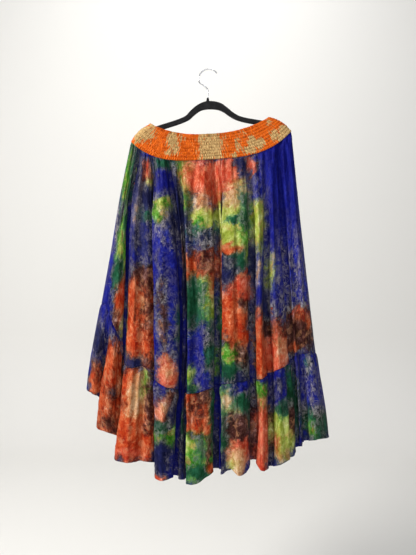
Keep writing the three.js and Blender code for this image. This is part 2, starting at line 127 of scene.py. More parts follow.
def backdrop():
    turn = np.linspace(0, math.pi / 2, 13)
    sweep = [(-3200, FLOOR_Z)]
    sweep += [(WALL_Y - CURVE + CURVE * math.sin(a), FLOOR_Z + CURVE - CURVE * math.cos(a)) for a in turn]
    sweep += [(WALL_Y, 2400)]
    points = [(x, y, z) for y, z in sweep for x in (-HALF_WIDTH, HALF_WIDTH)]
    faces = [(2 * i, 2 * i + 1, 2 * i + 3, 2 * i + 2) for i in range(len(sweep) - 1)]
    stage = new_piece("backdrop", points, faces)
    paper = bpy.data.materials.new("backdrop_paper")
    paper.use_nodes = True
    shader = paper.node_tree.nodes["Principled BSDF"]
    shader.inputs["Base Color"].default_value = (0.78, 0.77, 0.74, 1)
    shader.inputs["Roughness"].default_value = 0.9
    stage.data.materials.append(paper)


backdrop()

# %% [markdown]
# Every piece of cloth hangs on fold lines. A fold line runs from the waist seam over the ruffle
# seam to the hem, and a table gives its place at four stations, how far it stands out of the
# cloth and how that changes below the ruffle seam. A line of positive lift is a crest and one of
# negative lift a valley. Where an edge lies left of the valley before it, the fold laps over.

# %% Fold lines in front
# Columns: waist x, upper x, lower x, seam x, seam z, hem x, hem z, lift, hem lift
FRONT_FOLDS = np.array([
    (-207, -237, -262, -285, -626, -325, -858, 0, 0),  # left side seam
    (-202, -227, -247, -269, -626, -299, -860, 6, 14),
    (-198, -221, -238, -258, -648, -273, -885, 8, -20),
    (-193, -217, -229, -248, -672, -287, -946, 8, 13),
    (-188, -213, -221, -235, -701, -258, -955, 4, 22),
    (-183, -209, -212, -218, -737, -217, -990, -12, -25),  # dark valley
    (-177, -203, -205, -212, -786, -237, -1026, 2, 17),
    (-171, -192, -190, -191, -789, -203, -1029, 14, 28),  # third fold
    (-165, -175, -170, -167, -786, -171, -1030, 2, 10),
    (-158, -158, -151, -149, -799, -146, -1028, 10, 14),
    (-152, -130, -119, -112, -817, -115, -1050, -18, -26),  # under the first lap
    (-145, -143, -135, -133, -817, -133, -1066, 12, 17),
    (-133, -121, -108, -105, -834, -113, -1069, 20, 29),  # blue fold
    (-119, -93, -76, -77, -841, -88, -1070, 10, 8),
    (-105, -77, -66, -69, -852, -80, -1076, -14, -16),  # left valley
    (-92, -69, -60, -61, -857, -68, -1078, -6, -4),
    (-79, -61, -54, -54, -858, -47, -1082, -10, -18),
    (-65, -54, -47, -47, -854, -49, -1083, 8, 10),  # centre fold
    (-42, -38, -27, -27, -853, -24, -1078, 4, 22),
    (-20, -14, -9, -6, -843, -3, -1065, 18, 20),
    (1, 11, 14, 16, -836, 16, -1055, 9, 4),
    (15, 25, 27, 27, -836, 26, -1053, -8, -12),  # middle valley
    (26, 35, 36, 36, -833, 36, -1050, -4, -6),
    (35, 50, 55, 56, -832, 55, -1054, -16, -20),  # under the second lap
    (44, 39, 42, 42, -828, 42, -1055, 10, 14),
    (61, 58, 58, 60, -824, 63, -1042, 17, 8),  # right fold
    (79, 77, 76, 82, -822, 84, -1056, 15, 24),
    (95, 98, 98, 103, -820, 105, -1053, 8, 12),
    (110, 117, 119, 122, -820, 125, -1033, -12, -18),
    (127, 134, 138, 143, -814, 146, -1046, 12, 18),  # fifth fold
    (149, 157, 157, 168, -804, 172, -1050, -8, -14),
    (164, 173, 178, 189, -789, 192, -1032, 12, 22),  # sixth fold
    (178, 188, 198, 211, -781, 225, -1020, 3, 12),
    (189, 201, 213, 226, -770, 246, -1005, -11, -18),  # right valley
    (198, 211, 223, 236, -758, 250, -988, -5, -6),
    (206, 221, 235, 249, -755, 267, -988, -6, -18),
    (214, 232, 250, 268, -750, 286, -974, 8, 20),  # last fold
    (222, 246, 272, 295, -753, 334, -982, 0, 0),  # right side seam
], dtype=float)
print("fold lines in front:", len(FRONT_FOLDS))

# %% [markdown]
# The back is calmer: its folds are lower and more even, because a hanging skirt rests against
# what is behind it. It shares its first and last line with the front, since those are the side
# seams. Its table is written as if it were a front, and the finished sheet is mirrored.

# %% Fold lines behind
# Columns as in front
BACK_FOLDS = np.array([
    (-207, -237, -262, -285, -626, -325, -858, 0, 0),  # left side seam
    (-197, -221, -240, -258, -648, -292, -902, 6, 12),
    (-184, -203, -219, -232, -700, -258, -975, -8, -14),
    (-167, -184, -196, -204, -745, -226, -1015, 12, 18),
    (-150, -163, -170, -178, -775, -190, -1030, 2, 4),
    (-132, -140, -146, -152, -795, -160, -1040, -10, -14),
    (-112, -117, -120, -124, -812, -128, -1050, 14, 20),
    (-90, -89, -92, -92, -824, -92, -1057, -8, -12),
    (-68, -58, -56, -54, -832, -52, -1062, -13, -17),  # under the lap
    (-56, -64, -70, -70, -832, -74, -1064, 8, 10),
    (-38, -40, -42, -42, -836, -44, -1066, 15, 20),
    (-12, -10, -8, -6, -836, -4, -1064, 6, 8),
    (10, 17, 20, 22, -834, 24, -1060, -10, -13),  # middle valley
    (26, 32, 36, 38, -833, 41, -1058, -3, -4),
    (41, 47, 51, 54, -831, 57, -1056, -10, -14),
    (60, 65, 69, 74, -828, 78, -1054, 14, 18),
    (80, 85, 91, 96, -821, 101, -1050, 5, 8),
    (98, 106, 112, 118, -813, 125, -1043, -10, -14),
    (119, 128, 136, 143, -803, 151, -1035, 12, 18),
    (141, 152, 162, 170, -790, 182, -1025, -8, -12),
    (161, 174, 186, 197, -780, 213, -1013, 12, 16),
    (181, 196, 210, 224, -768, 245, -1000, -8, -14),
    (203, 221, 241, 261, -758, 287, -988, 7, 13),
    (222, 246, 272, 295, -753, 334, -982, 0, 0),  # right side seam
], dtype=float)
print("fold lines behind:", len(BACK_FOLDS))

# %% [markdown]
# Between the stations a fold line runs on a smooth track. The cloth between two lines is a
# centripetal spline, which keeps sharp folds from looping. These are the same rules as for the
# solids, only with many more points, so the sheet lies where the solid is. Noise between random
# values at whole steps gives all that is uneven; its seed is fixed, so every run is the same.

# %% Tracks, splines and noise
def eased(t):
    return t * t * (3 - 2 * t)


def smooth_track(at, values):
    at = np.array(at, float)
    values = np.array(values, float)
    steps = np.diff(values) / np.diff(at)
    slopes = np.concatenate([steps[:1], (steps[1:] + steps[:-1]) / 2, steps[-1:]])

    def place(v):
        i = np.clip(np.searchsorted(at, v, side="right") - 1, 0, len(at) - 2)
        wide = at[i + 1] - at[i]
        t = (v - at[i]) / wide
        leave = t * (1 - t) ** 2 * wide * slopes[i]
        arrive = t * t * (t - 1) * wide * slopes[i + 1]
        return values[i] + (values[i + 1] - values[i]) * eased(t) + leave + arrive

    return place


def root_apart(a, b):
    """The square root of how far b is from a, which spaces a centripetal spline."""
    return np.sqrt(np.linalg.norm(b - a, axis=1))[:, None]


def spline_rows(guide, steps):
    """Points on a centripetal spline along the second axis of guide, steps per interval."""
    rows = []
    for i, count in enumerate(steps):
        p0, p1, p2, p3 = (guide[:, i + k] for k in range(4))
        d0, d1, d2 = root_apart(p0, p1), root_apart(p1, p2), root_apart(p2, p3)
        out = ((p1 - p0) / d0 - (p2 - p0) / (d0 + d1) + (p2 - p1) / d1) * d1
        into = ((p2 - p1) / d1 - (p3 - p1) / (d1 + d2) + (p3 - p2) / d2) * d1
        for t in np.arange(count) / count:
            rows.append(p1 + (p2 - p1) * eased(t) + out * t * (1 - t) ** 2 + into * t * t * (t - 1))
    rows.append(guide[:, -2])
    return np.stack(rows, axis=1)


NOISE_CELLS = 61


def soft_noise(u, v, seed):
    """Smooth noise from -1 to 1, with one swell for each whole step of u and v."""
    cells = np.random.default_rng(seed).uniform(-1, 1, (NOISE_CELLS, NOISE_CELLS))
    i = np.floor(u).astype(int)
    j = np.floor(v).astype(int)
    p = eased(u - i)
    q = eased(v - j)

    def cell(right, below):
        return cells[(i + right) % NOISE_CELLS, (j + below) % NOISE_CELLS]

    upper = cell(0, 0) * (1 - p) + cell(1, 0) * p
    lower = cell(0, 1) * (1 - p) + cell(1, 1) * p
    return upper * (1 - q) + lower * q


# %% [markdown]
# The band is a strip that droops between the two shoulders of the hanger, and the hanger tilts,
# so its corners differ in height. The lower edge of the band is the waist seam of the skirt.

# %% Waistband edges
# x and z of the left and the right corner, how far the middle sags and how flat the sag is
BAND_TOP = ((-155, -146), (163, -125), 37, 2.4)
BAND_FOOT = ((-207, -193), (222, -162), 62, 3.6)


def edge_height(edge, x):
    (left_x, left_z), (right_x, right_z), sag, flatness = edge
    across = (x - left_x) / (right_x - left_x)
    from_middle = np.clip(np.abs(2 * across - 1), 0, 1)
    return left_z + (right_z - left_z) * across - sag * (1 - from_middle ** flatness)


print("middle of the waist seam:", edge_height(BAND_FOOT, 0.0))

# %% [markdown]
# Skirt and ruffle together are a tube, flattened by hanging, and it is built one half at a time.
# A station says how far down a point lies: 0 is the waist seam, 1 the ruffle seam and 2 the hem.
# At each station the fold lines give points round the half. Close to the side seams the tube
# turns in, over a width given by turn, and its middle stands out by bow. A mirrored point past
# each seam makes the front run smoothly into the back.

# %% Half of the tube of cloth
STATIONS = [0, 0.35, 0.7, 1, 2]
HALF_SEAM_GAP = 0.15  # between the front and the back half, so that they only touch
FRONT_LOOP = {"turn": [9, 20, 26, 30, 34], "bow": [4, 14, 26, 34, 48]}
BACK_LOOP = {"turn": [9, 15, 18, 20, 24], "bow": [4, 8, 10, 12, 15]}
fold_growth = smooth_track([0, 0.1, 0.35, 0.7, 1], [0, 0.34, 0.8, 1.02, 1.1])


def columns_between(folds, spacing):
    """How many columns of points lie between each fold line and the next."""
    apart = np.hypot(np.diff(folds[:, 5]), np.diff(folds[:, 8]))
    return np.maximum(4, np.round(apart / spacing)).astype(int)


def half_tube(folds, loop, down, spacing):
    """Points round one half of the tube at the stations in down, about spacing apart."""
    seam_x, seam_z, hem_x, hem_z, lift, hem_lift = folds[:, 3:].T
    panel = np.clip(down, 0, 1)
    below = np.clip(down - 1, 0, 1)
    opened = np.sin(below * math.pi / 2)[:, None]
    flared = (below[:, None] + opened) / 2
    below = below[:, None]
    x = np.stack([smooth_track(STATIONS[:4], row[:4])(panel) for row in folds], axis=1)
    x = x + (hem_x - seam_x) * flared
    waist_z = edge_height(BAND_FOOT, folds[:, 0])
    z = waist_z + (seam_z - waist_z) * panel[:, None] + (hem_z - seam_z) * below
    grown = lift * fold_growth(panel)[:, None]
    lifts = grown + (hem_lift - grown) * opened
    turn = np.interp(down, STATIONS, loop["turn"])[:, None]
    bow = np.interp(down, STATIONS, loop["bow"])[:, None]
    left = x[:, :1]
    right = x[:, -1:]
    from_side = np.minimum(np.minimum(x - left, right - x), turn)
    turned = np.sqrt(np.maximum(turn ** 2 - (turn - from_side) ** 2, 0))
    across = 2 * (x - left) / (right - left) - 1
    y = -turned - bow * (1 - across ** 2) - lifts
    points = np.stack([x, y, z], axis=2)
    mirrored = points * (1, -1, 1)
    guide = np.concatenate([mirrored[:, 1:2], points, mirrored[:, -2:-1]], axis=1)
    rows = spline_rows(guide, columns_between(folds, spacing))
    rows[:, :, 1] -= HALF_SEAM_GAP
    return rows


def outward(grid):
    """Directions square to the cloth and out of the tube."""
    along = np.gradient(grid, axis=1)
    down = np.gradient(grid, axis=0)
    square = np.cross(down, along)
    return square / np.maximum(np.linalg.norm(square, axis=2, keepdims=True), 1e-9)


# %% [markdown]
# A maker gathers the skirt into the band and the ruffle into the skirt, and wearing and dyeing
# leave creases that run down from the gathers. The longer ones are placed one by one, each as a
# soft ridge (a positive height) or trough (a negative one) from one point to another.

# %% Creases in front
# Columns: x and station where the crease starts, x and station where it ends, height, half width.
# The panels' creases come before the ruffles'.
FRONT_CREASES = [
    (-196, 0.01, -214, 0.34, -3.0, 3.5), (-181, 0.00, -203, 0.30, 3.6, 4.0),
    (-166, 0.02, -176, 0.22, -3.0, 3.5), (-143, 0.00, -139, 0.26, -4.0, 4.0),
    (-122, 0.01, -116, 0.30, 2.6, 5.0), (-102, 0.00, -98, 0.18, -3.4, 3.5),
    (-86, 0.03, -80, 0.36, 3.0, 4.5), (-71, 0.00, -72, 0.30, -3.2, 4.0),
    (-61, 0.04, -62, 0.50, 2.2, 4.0), (-32, 0.00, -52, 0.31, -5.5, 4.5),
    (-20, 0.00, -31, 0.16, 2.5, 4.0), (-8, 0.00, -14, 0.24, 3.6, 4.0), (7, 0.02, 4, 0.40, -2.2, 5.0),
    (41, 0.00, 37, 0.20, 3.0, 4.0), (65, 0.00, 69, 0.12, -3.2, 3.5), (86, 0.02, 93, 0.22, 2.4, 4.0),
    (101, 0.00, 113, 0.18, -4.2, 4.0), (117, 0.01, 126, 0.28, 2.8, 4.5),
    (130, 0.00, 139, 0.15, -3.4, 3.5), (151, 0.03, 160, 0.34, 2.6, 5.0),
    (178, 0.02, 184, 0.66, -5.0, 5.5), (195, 0.00, 207, 0.30, 3.0, 4.5),
    (205, 0.03, 222, 0.25, -2.4, 3.5), (-9, 0.42, -22, 0.78, -2.4, 4.0),
    (-29, 0.48, -12, 0.70, 2.4, 3.0), (70, 0.40, 88, 0.95, -2.6, 5.0),
    (-176, 0.55, -197, 0.98, -3.2, 5.0), (-160, 0.50, -152, 0.92, 2.4, 6.0),
    (-121, 0.40, -117, 0.80, 2.0, 6.0), (-228, 0.45, -236, 0.92, 3.0, 5.0),
    (-99, 0.62, -108, 0.96, -2.2, 6.0), (205, 0.45, 226, 0.92, -2.6, 7.0),
    (257, 0.60, 268, 0.98, -2.4, 6.0), (-37, 0.62, -30, 0.97, -2.4, 5.0), (3, 0.55, 9, 0.95, 2.2, 5.0),
    (148, 0.50, 153, 0.98, -2.4, 4.0),
]
FRONT_RUFFLE_CREASES = [
    (-252, 1.03, -272, 1.60, -3.2, 4.0), (-244, 1.05, -250, 1.95, 3.0, 5.0),
    (-226, 1.10, -236, 1.90, -2.6, 5.0), (-207, 1.02, -214, 1.35, -2.8, 3.0),
    (-199, 1.02, -219, 1.80, 2.6, 4.5), (-184, 1.02, -188, 1.55, -3.4, 4.0),
    (-176, 1.04, -186, 1.92, 2.8, 5.0), (-160, 1.02, -160, 1.50, -2.6, 3.5),
    (-122, 1.02, -124, 1.70, -3.0, 4.0), (-110, 1.05, -117, 1.98, 2.8, 5.0),
    (-95, 1.02, -98, 1.55, -3.0, 3.5), (-38, 1.02, -39, 1.90, -3.0, 4.5),
    (-20, 1.02, -14, 1.65, 2.6, 4.0), (-12, 1.03, -2, 1.95, -3.2, 5.0), (8, 1.02, 10, 1.50, 2.6, 3.5),
    (52, 1.02, 51, 1.60, -2.4, 3.0), (71, 1.02, 72, 1.85, -3.4, 4.5), (92, 1.03, 97, 1.55, 2.8, 4.0),
    (134, 1.02, 131, 1.90, -3.4, 4.0), (152, 1.03, 158, 1.98, 2.8, 5.0),
    (180, 1.02, 186, 1.55, -2.8, 4.0), (199, 1.02, 208, 1.95, -3.2, 5.0),
    (217, 1.03, 232, 1.70, 2.4, 4.0), (262, 1.02, 276, 1.60, -3.2, 4.5),
    (276, 1.03, 300, 1.92, 3.0, 6.0), (285, 1.02, 316, 1.70, -2.6, 4.0),
]
print("creases in front:", len(FRONT_CREASES + FRONT_RUFFLE_CREASES))

# %% [markdown]
# The hidden side gets creases of the same kinds in places of its own, fewer of them because its
# folds are calmer.

# %% Creases behind
# Columns as in front
BACK_CREASES = [
    (-190, 0.00, -205, 0.28, -3.4, 4.0), (-172, 0.02, -183, 0.40, 2.6, 5.0),
    (-150, 0.00, -158, 0.20, -3.8, 4.0), (-128, 0.01, -134, 0.32, 3.0, 4.5),
    (-104, 0.00, -108, 0.24, -3.2, 4.0), (-80, 0.02, -76, 0.45, -2.6, 5.0),
    (-48, 0.00, -55, 0.26, 3.4, 4.0), (-24, 0.01, -27, 0.18, -3.8, 4.0), (0, 0.00, 3, 0.36, 2.6, 5.0),
    (33, 0.02, 38, 0.22, -3.2, 3.5), (52, 0.00, 56, 0.30, 2.8, 4.5), (88, 0.00, 92, 0.20, -4.0, 4.0),
    (110, 0.02, 118, 0.42, 2.4, 5.0), (131, 0.00, 140, 0.24, -3.2, 4.0),
    (172, 0.01, 183, 0.32, -3.4, 4.5), (194, 0.00, 208, 0.22, 2.8, 4.0),
    (-215, 0.50, -232, 0.95, -2.4, 6.0), (-118, 0.52, -128, 0.98, -2.4, 5.0),
    (-30, 0.46, -22, 0.92, 2.4, 6.0), (84, 0.50, 92, 0.96, -2.6, 6.0), (190, 0.48, 208, 0.94, 2.2, 6.0),
    (232, 0.52, 258, 0.95, -2.4, 6.0),
]
BACK_RUFFLE_CREASES = [
    (-262, 1.02, -290, 1.70, -3.0, 4.5), (-228, 1.03, -246, 1.90, 2.8, 5.0),
    (-196, 1.02, -210, 1.60, -3.2, 4.0), (-160, 1.02, -172, 1.85, 2.6, 5.0),
    (-126, 1.02, -131, 1.55, -3.0, 4.0), (-96, 1.03, -100, 1.95, -2.6, 5.0),
    (-34, 1.02, -38, 1.65, -3.2, 4.0), (-14, 1.03, -12, 1.90, 2.8, 5.0),
    (34, 1.02, 36, 1.50, -2.8, 4.0), (72, 1.02, 76, 1.80, -3.2, 4.5), (108, 1.02, 116, 1.60, 2.8, 4.0),
    (142, 1.03, 152, 1.92, -3.0, 5.0), (184, 1.02, 198, 1.55, 2.6, 4.0),
    (214, 1.02, 234, 1.80, -3.2, 5.0), (262, 1.03, 290, 1.65, -2.8, 4.5),
]
print("creases behind:", len(BACK_CREASES + BACK_RUFFLE_CREASES))

# %% [markdown]
# The solids keep their valleys shallow, so that their walls don't meet. Thin cloth can go much
# further in, and that is what makes the dark lines of a hanging skirt. These tables deepen the
# valleys along the fold lines and sharpen a few crests.

# %% Deeper valleys and sharper crests
# Columns: number of the fold line, stations where the trough or crest starts and ends, height,
# half width. The numbers count the rows of the fold tables from 0.
FRONT_DEEPS = [
    (2, 0.05, 0.6, -4, 4), (5, -0.1, 2.2, -15, 9), (7, 0.2, 2.2, 2.5, 5), (8, 1.0, 2.2, -5, 5),
    (10, 0.1, 2.2, -13, 9), (11, 0.15, 1.4, 3, 4), (12, 0.1, 2.2, 2, 5), (14, -0.1, 2.2, -18, 7),
    (16, 0.1, 2.2, -12, 6), (17, 0.0, 2.2, 3, 4), (18, 0.1, 0.9, -4, 4), (19, 0.0, 1.2, 2.5, 4),
    (21, -0.1, 2.2, -15, 7), (23, 0.1, 2.2, -12, 7), (24, 0.0, 2.2, 3, 4), (26, 0.2, 1.6, -5, 5),
    (28, -0.1, 2.2, -13, 8), (29, 0.1, 2.2, 2.5, 5), (30, 0.0, 2.2, -11, 7), (31, 0.2, 2.2, 3, 5),
    (32, 0.95, 2.2, -7, 5), (33, -0.1, 2.2, -13, 8), (35, 0.5, 2.2, -9, 7), (36, 0.8, 2.2, 2, 5),
]
BACK_DEEPS = [
    (2, 0.0, 2.2, -10, 7), (3, 0.3, 2.2, 2, 5), (5, -0.1, 2.2, -12, 8), (6, 0.1, 1.5, 2.5, 5),
    (8, 0.1, 2.2, -12, 8), (10, 0.2, 2.2, 2, 5), (12, -0.1, 2.2, -13, 7), (14, 0.2, 2.2, -10, 7),
    (15, 0.0, 1.8, 2.5, 5), (17, -0.1, 2.2, -12, 8), (19, 0.1, 2.2, -9, 7), (20, 0.2, 2.2, 2, 5),
    (21, 0.0, 2.2, -10, 7),
]
print("deepened folds:", len(FRONT_DEEPS + BACK_DEEPS))

# %% [markdown]
# All of this moves the cloth in or out, square to its face, so each kind gives one height for
# every point of the grid, and the heights are added up later.

# %% Creased and deepened cloth
CREASE_FACTOR = 1.5  # the tables give the creases of calm cloth, and this cloth is crumpled


def length_along(grid):
    """How far along its row of the grid each point lies, from the left side seam."""
    runs = np.linalg.norm(np.diff(grid, axis=1), axis=2)
    return np.concatenate([np.zeros((len(grid), 1)), np.cumsum(runs, axis=1)], axis=1)


def creased(grid, down, creases):
    height = np.zeros(grid.shape[:2])
    for start_x, start, end_x, end, tall, wide in creases:
        inside = np.clip((down - start) / (end - start), 0, 1)
        centre = start_x + (end_x - start_x) * inside
        fade = np.clip(np.sin(inside * math.pi), 0, 1) ** 0.6
        offset = (grid[:, :, 0] - centre[:, None]) / wide
        height += tall * CREASE_FACTOR * fade[:, None] * np.exp(-offset ** 2)
    return height


def deepened(grid, down, folds, spacing, deep):
    """Troughs and crests down the fold lines in the table, less deep near the waist."""
    first = np.concatenate([[0], np.cumsum(columns_between(folds, spacing))])
    along = length_along(grid)
    height = np.zeros(grid.shape[:2])
    for line, start, end, tall, wide in deep:
        middle = along[:, first[line]]
        fade = np.clip((down - start) / 0.12, 0, 1) * np.clip((end - down) / 0.2, 0, 1)
        fade = eased(fade) * np.interp(down, [0, 0.3, 2], [0.6, 1, 1])
        offset = (along - middle[:, None]) / wide
        height += tall * fade[:, None] * np.exp(-offset ** 2)
    return height


seams = half_tube(BACK_FOLDS, BACK_LOOP, np.array([0.0, 1.0, 2.0]), 20)
print("round the back at the waist, the ruffle seam and the hem:", length_along(seams)[:, -1].round())

# %% [markdown]
# Each gather is a small pleat that starts at the seam and dies out, some after two fingers'
# breadth and some after a hand. Crumple is noise: long soft swells, with sharper creases along,
# across and aslant between them.

# %% Gathers and crumple
def gathered(cloth, down, count, strength, seed):
    """Small pleats of uneven size that start at the top edge and run down from it."""
    rng = np.random.default_rng(seed)
    places = (np.arange(count) + rng.uniform(-0.35, 0.35, count) + 0.5) / count
    height = np.zeros((len(down), len(cloth)))
    width = cloth[-1]
    for i, place in enumerate(places):
        tall = strength * rng.uniform(1.0, 2.6) * (1 if i % 2 else -1)
        reach = rng.choice([0.07, 0.12, 0.2, 0.3]) * rng.uniform(0.8, 1.25)
        lean = rng.uniform(-0.05, 0.05)
        fall = np.clip((down - down[0]) / reach, 0, 1)
        rise = np.clip((down - down[0]) / 0.02, 0.25, 1)
        fade = rise * (1 - fall) ** 1.3
        centre = place + lean * fall * reach
        half = width / count * rng.uniform(0.26, 0.42)
        offset = (cloth[None, :] - centre[:, None] * width) / half
        height += tall * fade[:, None] * np.exp(-offset ** 2)
    return height


def crumpled(cloth, fall, seed):
    """Fine crumple. The divisors are the widths and lengths of its swells and creases."""
    u = cloth[None, :] + 6 * soft_noise(cloth[None, :] / 40, fall / 60, seed)
    v = fall + 8 * soft_noise(cloth[None, :] / 30, fall / 50, seed + 1)
    swell = 0.9 * soft_noise(u / 26, v / 75, seed + 2) + 0.45 * soft_noise(u / 13, v / 34, seed + 3)
    crease = 0.5 - np.abs(soft_noise(u / 11, v / 40, seed + 4)) * 1.6
    cross = 0.4 - np.abs(soft_noise(u / 26, v / 13, seed + 5)) * 1.4
    slant = 0.4 - np.abs(soft_noise((u + 0.6 * v) / 17, (v - 0.5 * u) / 52, seed + 6)) * 1.4
    return swell + 0.6 * crease + 0.45 * cross + 0.6 * slant


# %% [markdown]
# A sheet is a grid of points with two measures that stay with the cloth: how far across it a
# point lies and how far down. They become its UV map, in metres, so that dye and weave follow
# the cloth into every fold. A Solidify modifier gives the sheet the thickness of crepe.

# %% Sheet helper
CREPE = 0.8
SHIRRED = 1.0


def sheet(name, grid, cloth, fall, faces_back, thick):
    rows, columns = grid.shape[:2]
    placed = grid * (1, -1, 1) if faces_back else grid
    corner = np.arange(rows * columns).reshape(rows, columns)
    around = [corner[:-1, :-1], corner[1:, :-1], corner[1:, 1:], corner[:-1, 1:]]
    quads = np.stack(around, axis=2).reshape(-1, 4)
    if faces_back:
        quads = quads[:, ::-1]
    piece = new_piece(name, placed.reshape(-1, 3), quads.tolist())
    layer = piece.data.uv_layers.new(name="cloth")
    across = np.broadcast_to(cloth, (rows, columns)).reshape(-1)
    where = np.stack([across, -fall.reshape(-1)], axis=1) * MM
    layer.data.foreach_set("uv", where[quads.reshape(-1)].reshape(-1))
    wall = piece.modifiers.new("thickness", "SOLIDIFY")
    wall.thickness = thick * MM
    wall.offset = -1
    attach(piece, "root")
    cells = np.cross(np.diff(grid, axis=0)[:, :-1], np.diff(grid, axis=1)[:-1])
    area = np.linalg.norm(cells, axis=2).sum() * MM * MM
    print(name, grid.shape[:2], "one side", round(area, 4), "m2,", round(cloth[-1]), "mm across")
    return piece


def lengths_of(grid):
    """How far across the cloth each column is, and how far down each point is."""
    cloth = length_along(grid)[-1]
    falls = np.linalg.norm(np.diff(grid, axis=0), axis=2)
    fall = np.concatenate([np.zeros((1, grid.shape[1])), np.cumsum(falls, axis=0)])
    return cloth, fall


def from_sides(cloth, columns):
    """0 at the two side seams, rising to 1 within a few columns, so that the halves meet."""
    count = np.arange(len(cloth))
    return np.minimum(count, count[::-1]) / columns


# %% [markdown]
# The skirt panels reach from the waist seam to the ruffle seam. Just below each seam the cloth
# dips under the piece above it, as sewn cloth does. The ruffle's own hem is rolled, so its last
# five millimetres stand out by one more layer, and its edge flutters. Crumple is settled near
# the seams, where the stitches hold the cloth.

# %% Skirt and ruffle
HEM_ROLL = 5.5
FLUTTER_HEIGHT = 45
FLUTTER_WIDTH = 19


def panel_moves(cloth, fall, down, gathers, seed):
    settle = np.clip((down - down[0]) / 0.06, 0.1, 1) * np.clip((1 - down) / 0.05, 0.1, 1)
    moved = gathered(cloth, down, gathers, 1.6, seed)
    moved += crumpled(cloth, fall, seed) * settle[:, None] * 1.25
    tuck = 0.4 * np.exp(-((1 - down) / 0.006) ** 2) - 1.6 * np.exp(-((down - down[0]) / 0.014) ** 2)
    return moved, tuck[:, None]


def ruffle_moves(cloth, fall, down, gathers, seed):
    settle = np.clip((down - down[0]) / 0.06, 0.1, 1)
    moved = gathered(cloth, down, gathers, 1.7, seed)
    moved += crumpled(cloth, fall, seed) * settle[:, None] * 1.7
    to_hem = fall[-1] - fall
    near = np.clip(1 - to_hem / FLUTTER_HEIGHT, 0, 1) ** 1.5
    moved += 2.4 * near * soft_noise(cloth[None, :] / FLUTTER_WIDTH, 0 * fall, seed + 9)
    moved += 0.9 * (to_hem < HEM_ROLL)
    tuck = np.interp(down, [0.988, 1.002, 1.03, 1.08, 1.3], [-1.6, -1.6, 1.2, 2.2, 0])
    return moved, tuck[:, None]


def skirt_piece(name, side, down, creases, moves, spacing, gathers, seed):
    """A panel or a ruffle, for the stations in down. spacing is that of its columns of points."""
    folds, loop, deeps, faces_back = side
    grid = half_tube(folds, loop, down, spacing)
    cloth, fall = lengths_of(grid)
    moved, tuck = moves(cloth, fall, down, gathers, seed)
    moved += creased(grid, down, creases) + deepened(grid, down, folds, spacing, deeps)
    moved = moved * np.clip(from_sides(cloth, 6), 0, 1) + tuck
    grid = grid + outward(grid) * moved[:, :, None]
    cloth, fall = lengths_of(grid)
    return sheet(name, grid, cloth, fall, faces_back, CREPE), grid


FRONT = (FRONT_FOLDS, FRONT_LOOP, FRONT_DEEPS, False)
BACK = (BACK_FOLDS, BACK_LOOP, BACK_DEEPS, True)
PANEL_DOWN = np.concatenate([[-0.006, 0.0, 0.005, 0.011, 0.018], np.linspace(0.026, 1.0, 122)])
RUFFLE_TOP = [0.988, 0.995, 1.001, 1.008, 1.017, 1.028, 1.042]
RUFFLE_HEM = [1.955, 1.965, 1.973, 1.979, 1.984, 1.989, 1.994, 2.0]
RUFFLE_DOWN = np.concatenate([RUFFLE_TOP, np.linspace(1.058, 1.94, 66), RUFFLE_HEM])

skirt_front, skirt_front_grid = skirt_piece(
    "skirt_front_cloth", FRONT, PANEL_DOWN, creases=FRONT_CREASES, moves=panel_moves,
    spacing=3.1, gathers=64, seed=11)
skirt_back, skirt_back_grid = skirt_piece(
    "skirt_back_cloth", BACK, PANEL_DOWN, creases=BACK_CREASES, moves=panel_moves,
    spacing=3.2, gathers=56, seed=31)
ruffle_front, ruffle_front_grid = skirt_piece(
    "ruffle_front_cloth", FRONT, RUFFLE_DOWN, creases=FRONT_RUFFLE_CREASES, moves=ruffle_moves,
    spacing=2.7, gathers=92, seed=51)
ruffle_back, ruffle_back_grid = skirt_piece(
    "ruffle_back_cloth", BACK, RUFFLE_DOWN, creases=BACK_RUFFLE_CREASES, moves=ruffle_moves,
    spacing=3.2, gathers=72, seed=71)

# %% [markdown]
# The waistband is drawn out over the shoulders of the hanger. First comes its plain form: a
# strip that turns in at both sides as the skirt does. Near its corners the ends swell out, since
# the elastic pulls the middle in and leaves the corners standing.

# %% Form of the waistband
SIDE_SWELL = 7
SWELL_REACH = 60


def corner_slant(end):
    """Which way the end of the band runs, from its upper corner to its lower one."""
    run = np.subtract(BAND_FOOT[end], BAND_TOP[end])
    return run / np.hypot(*run)


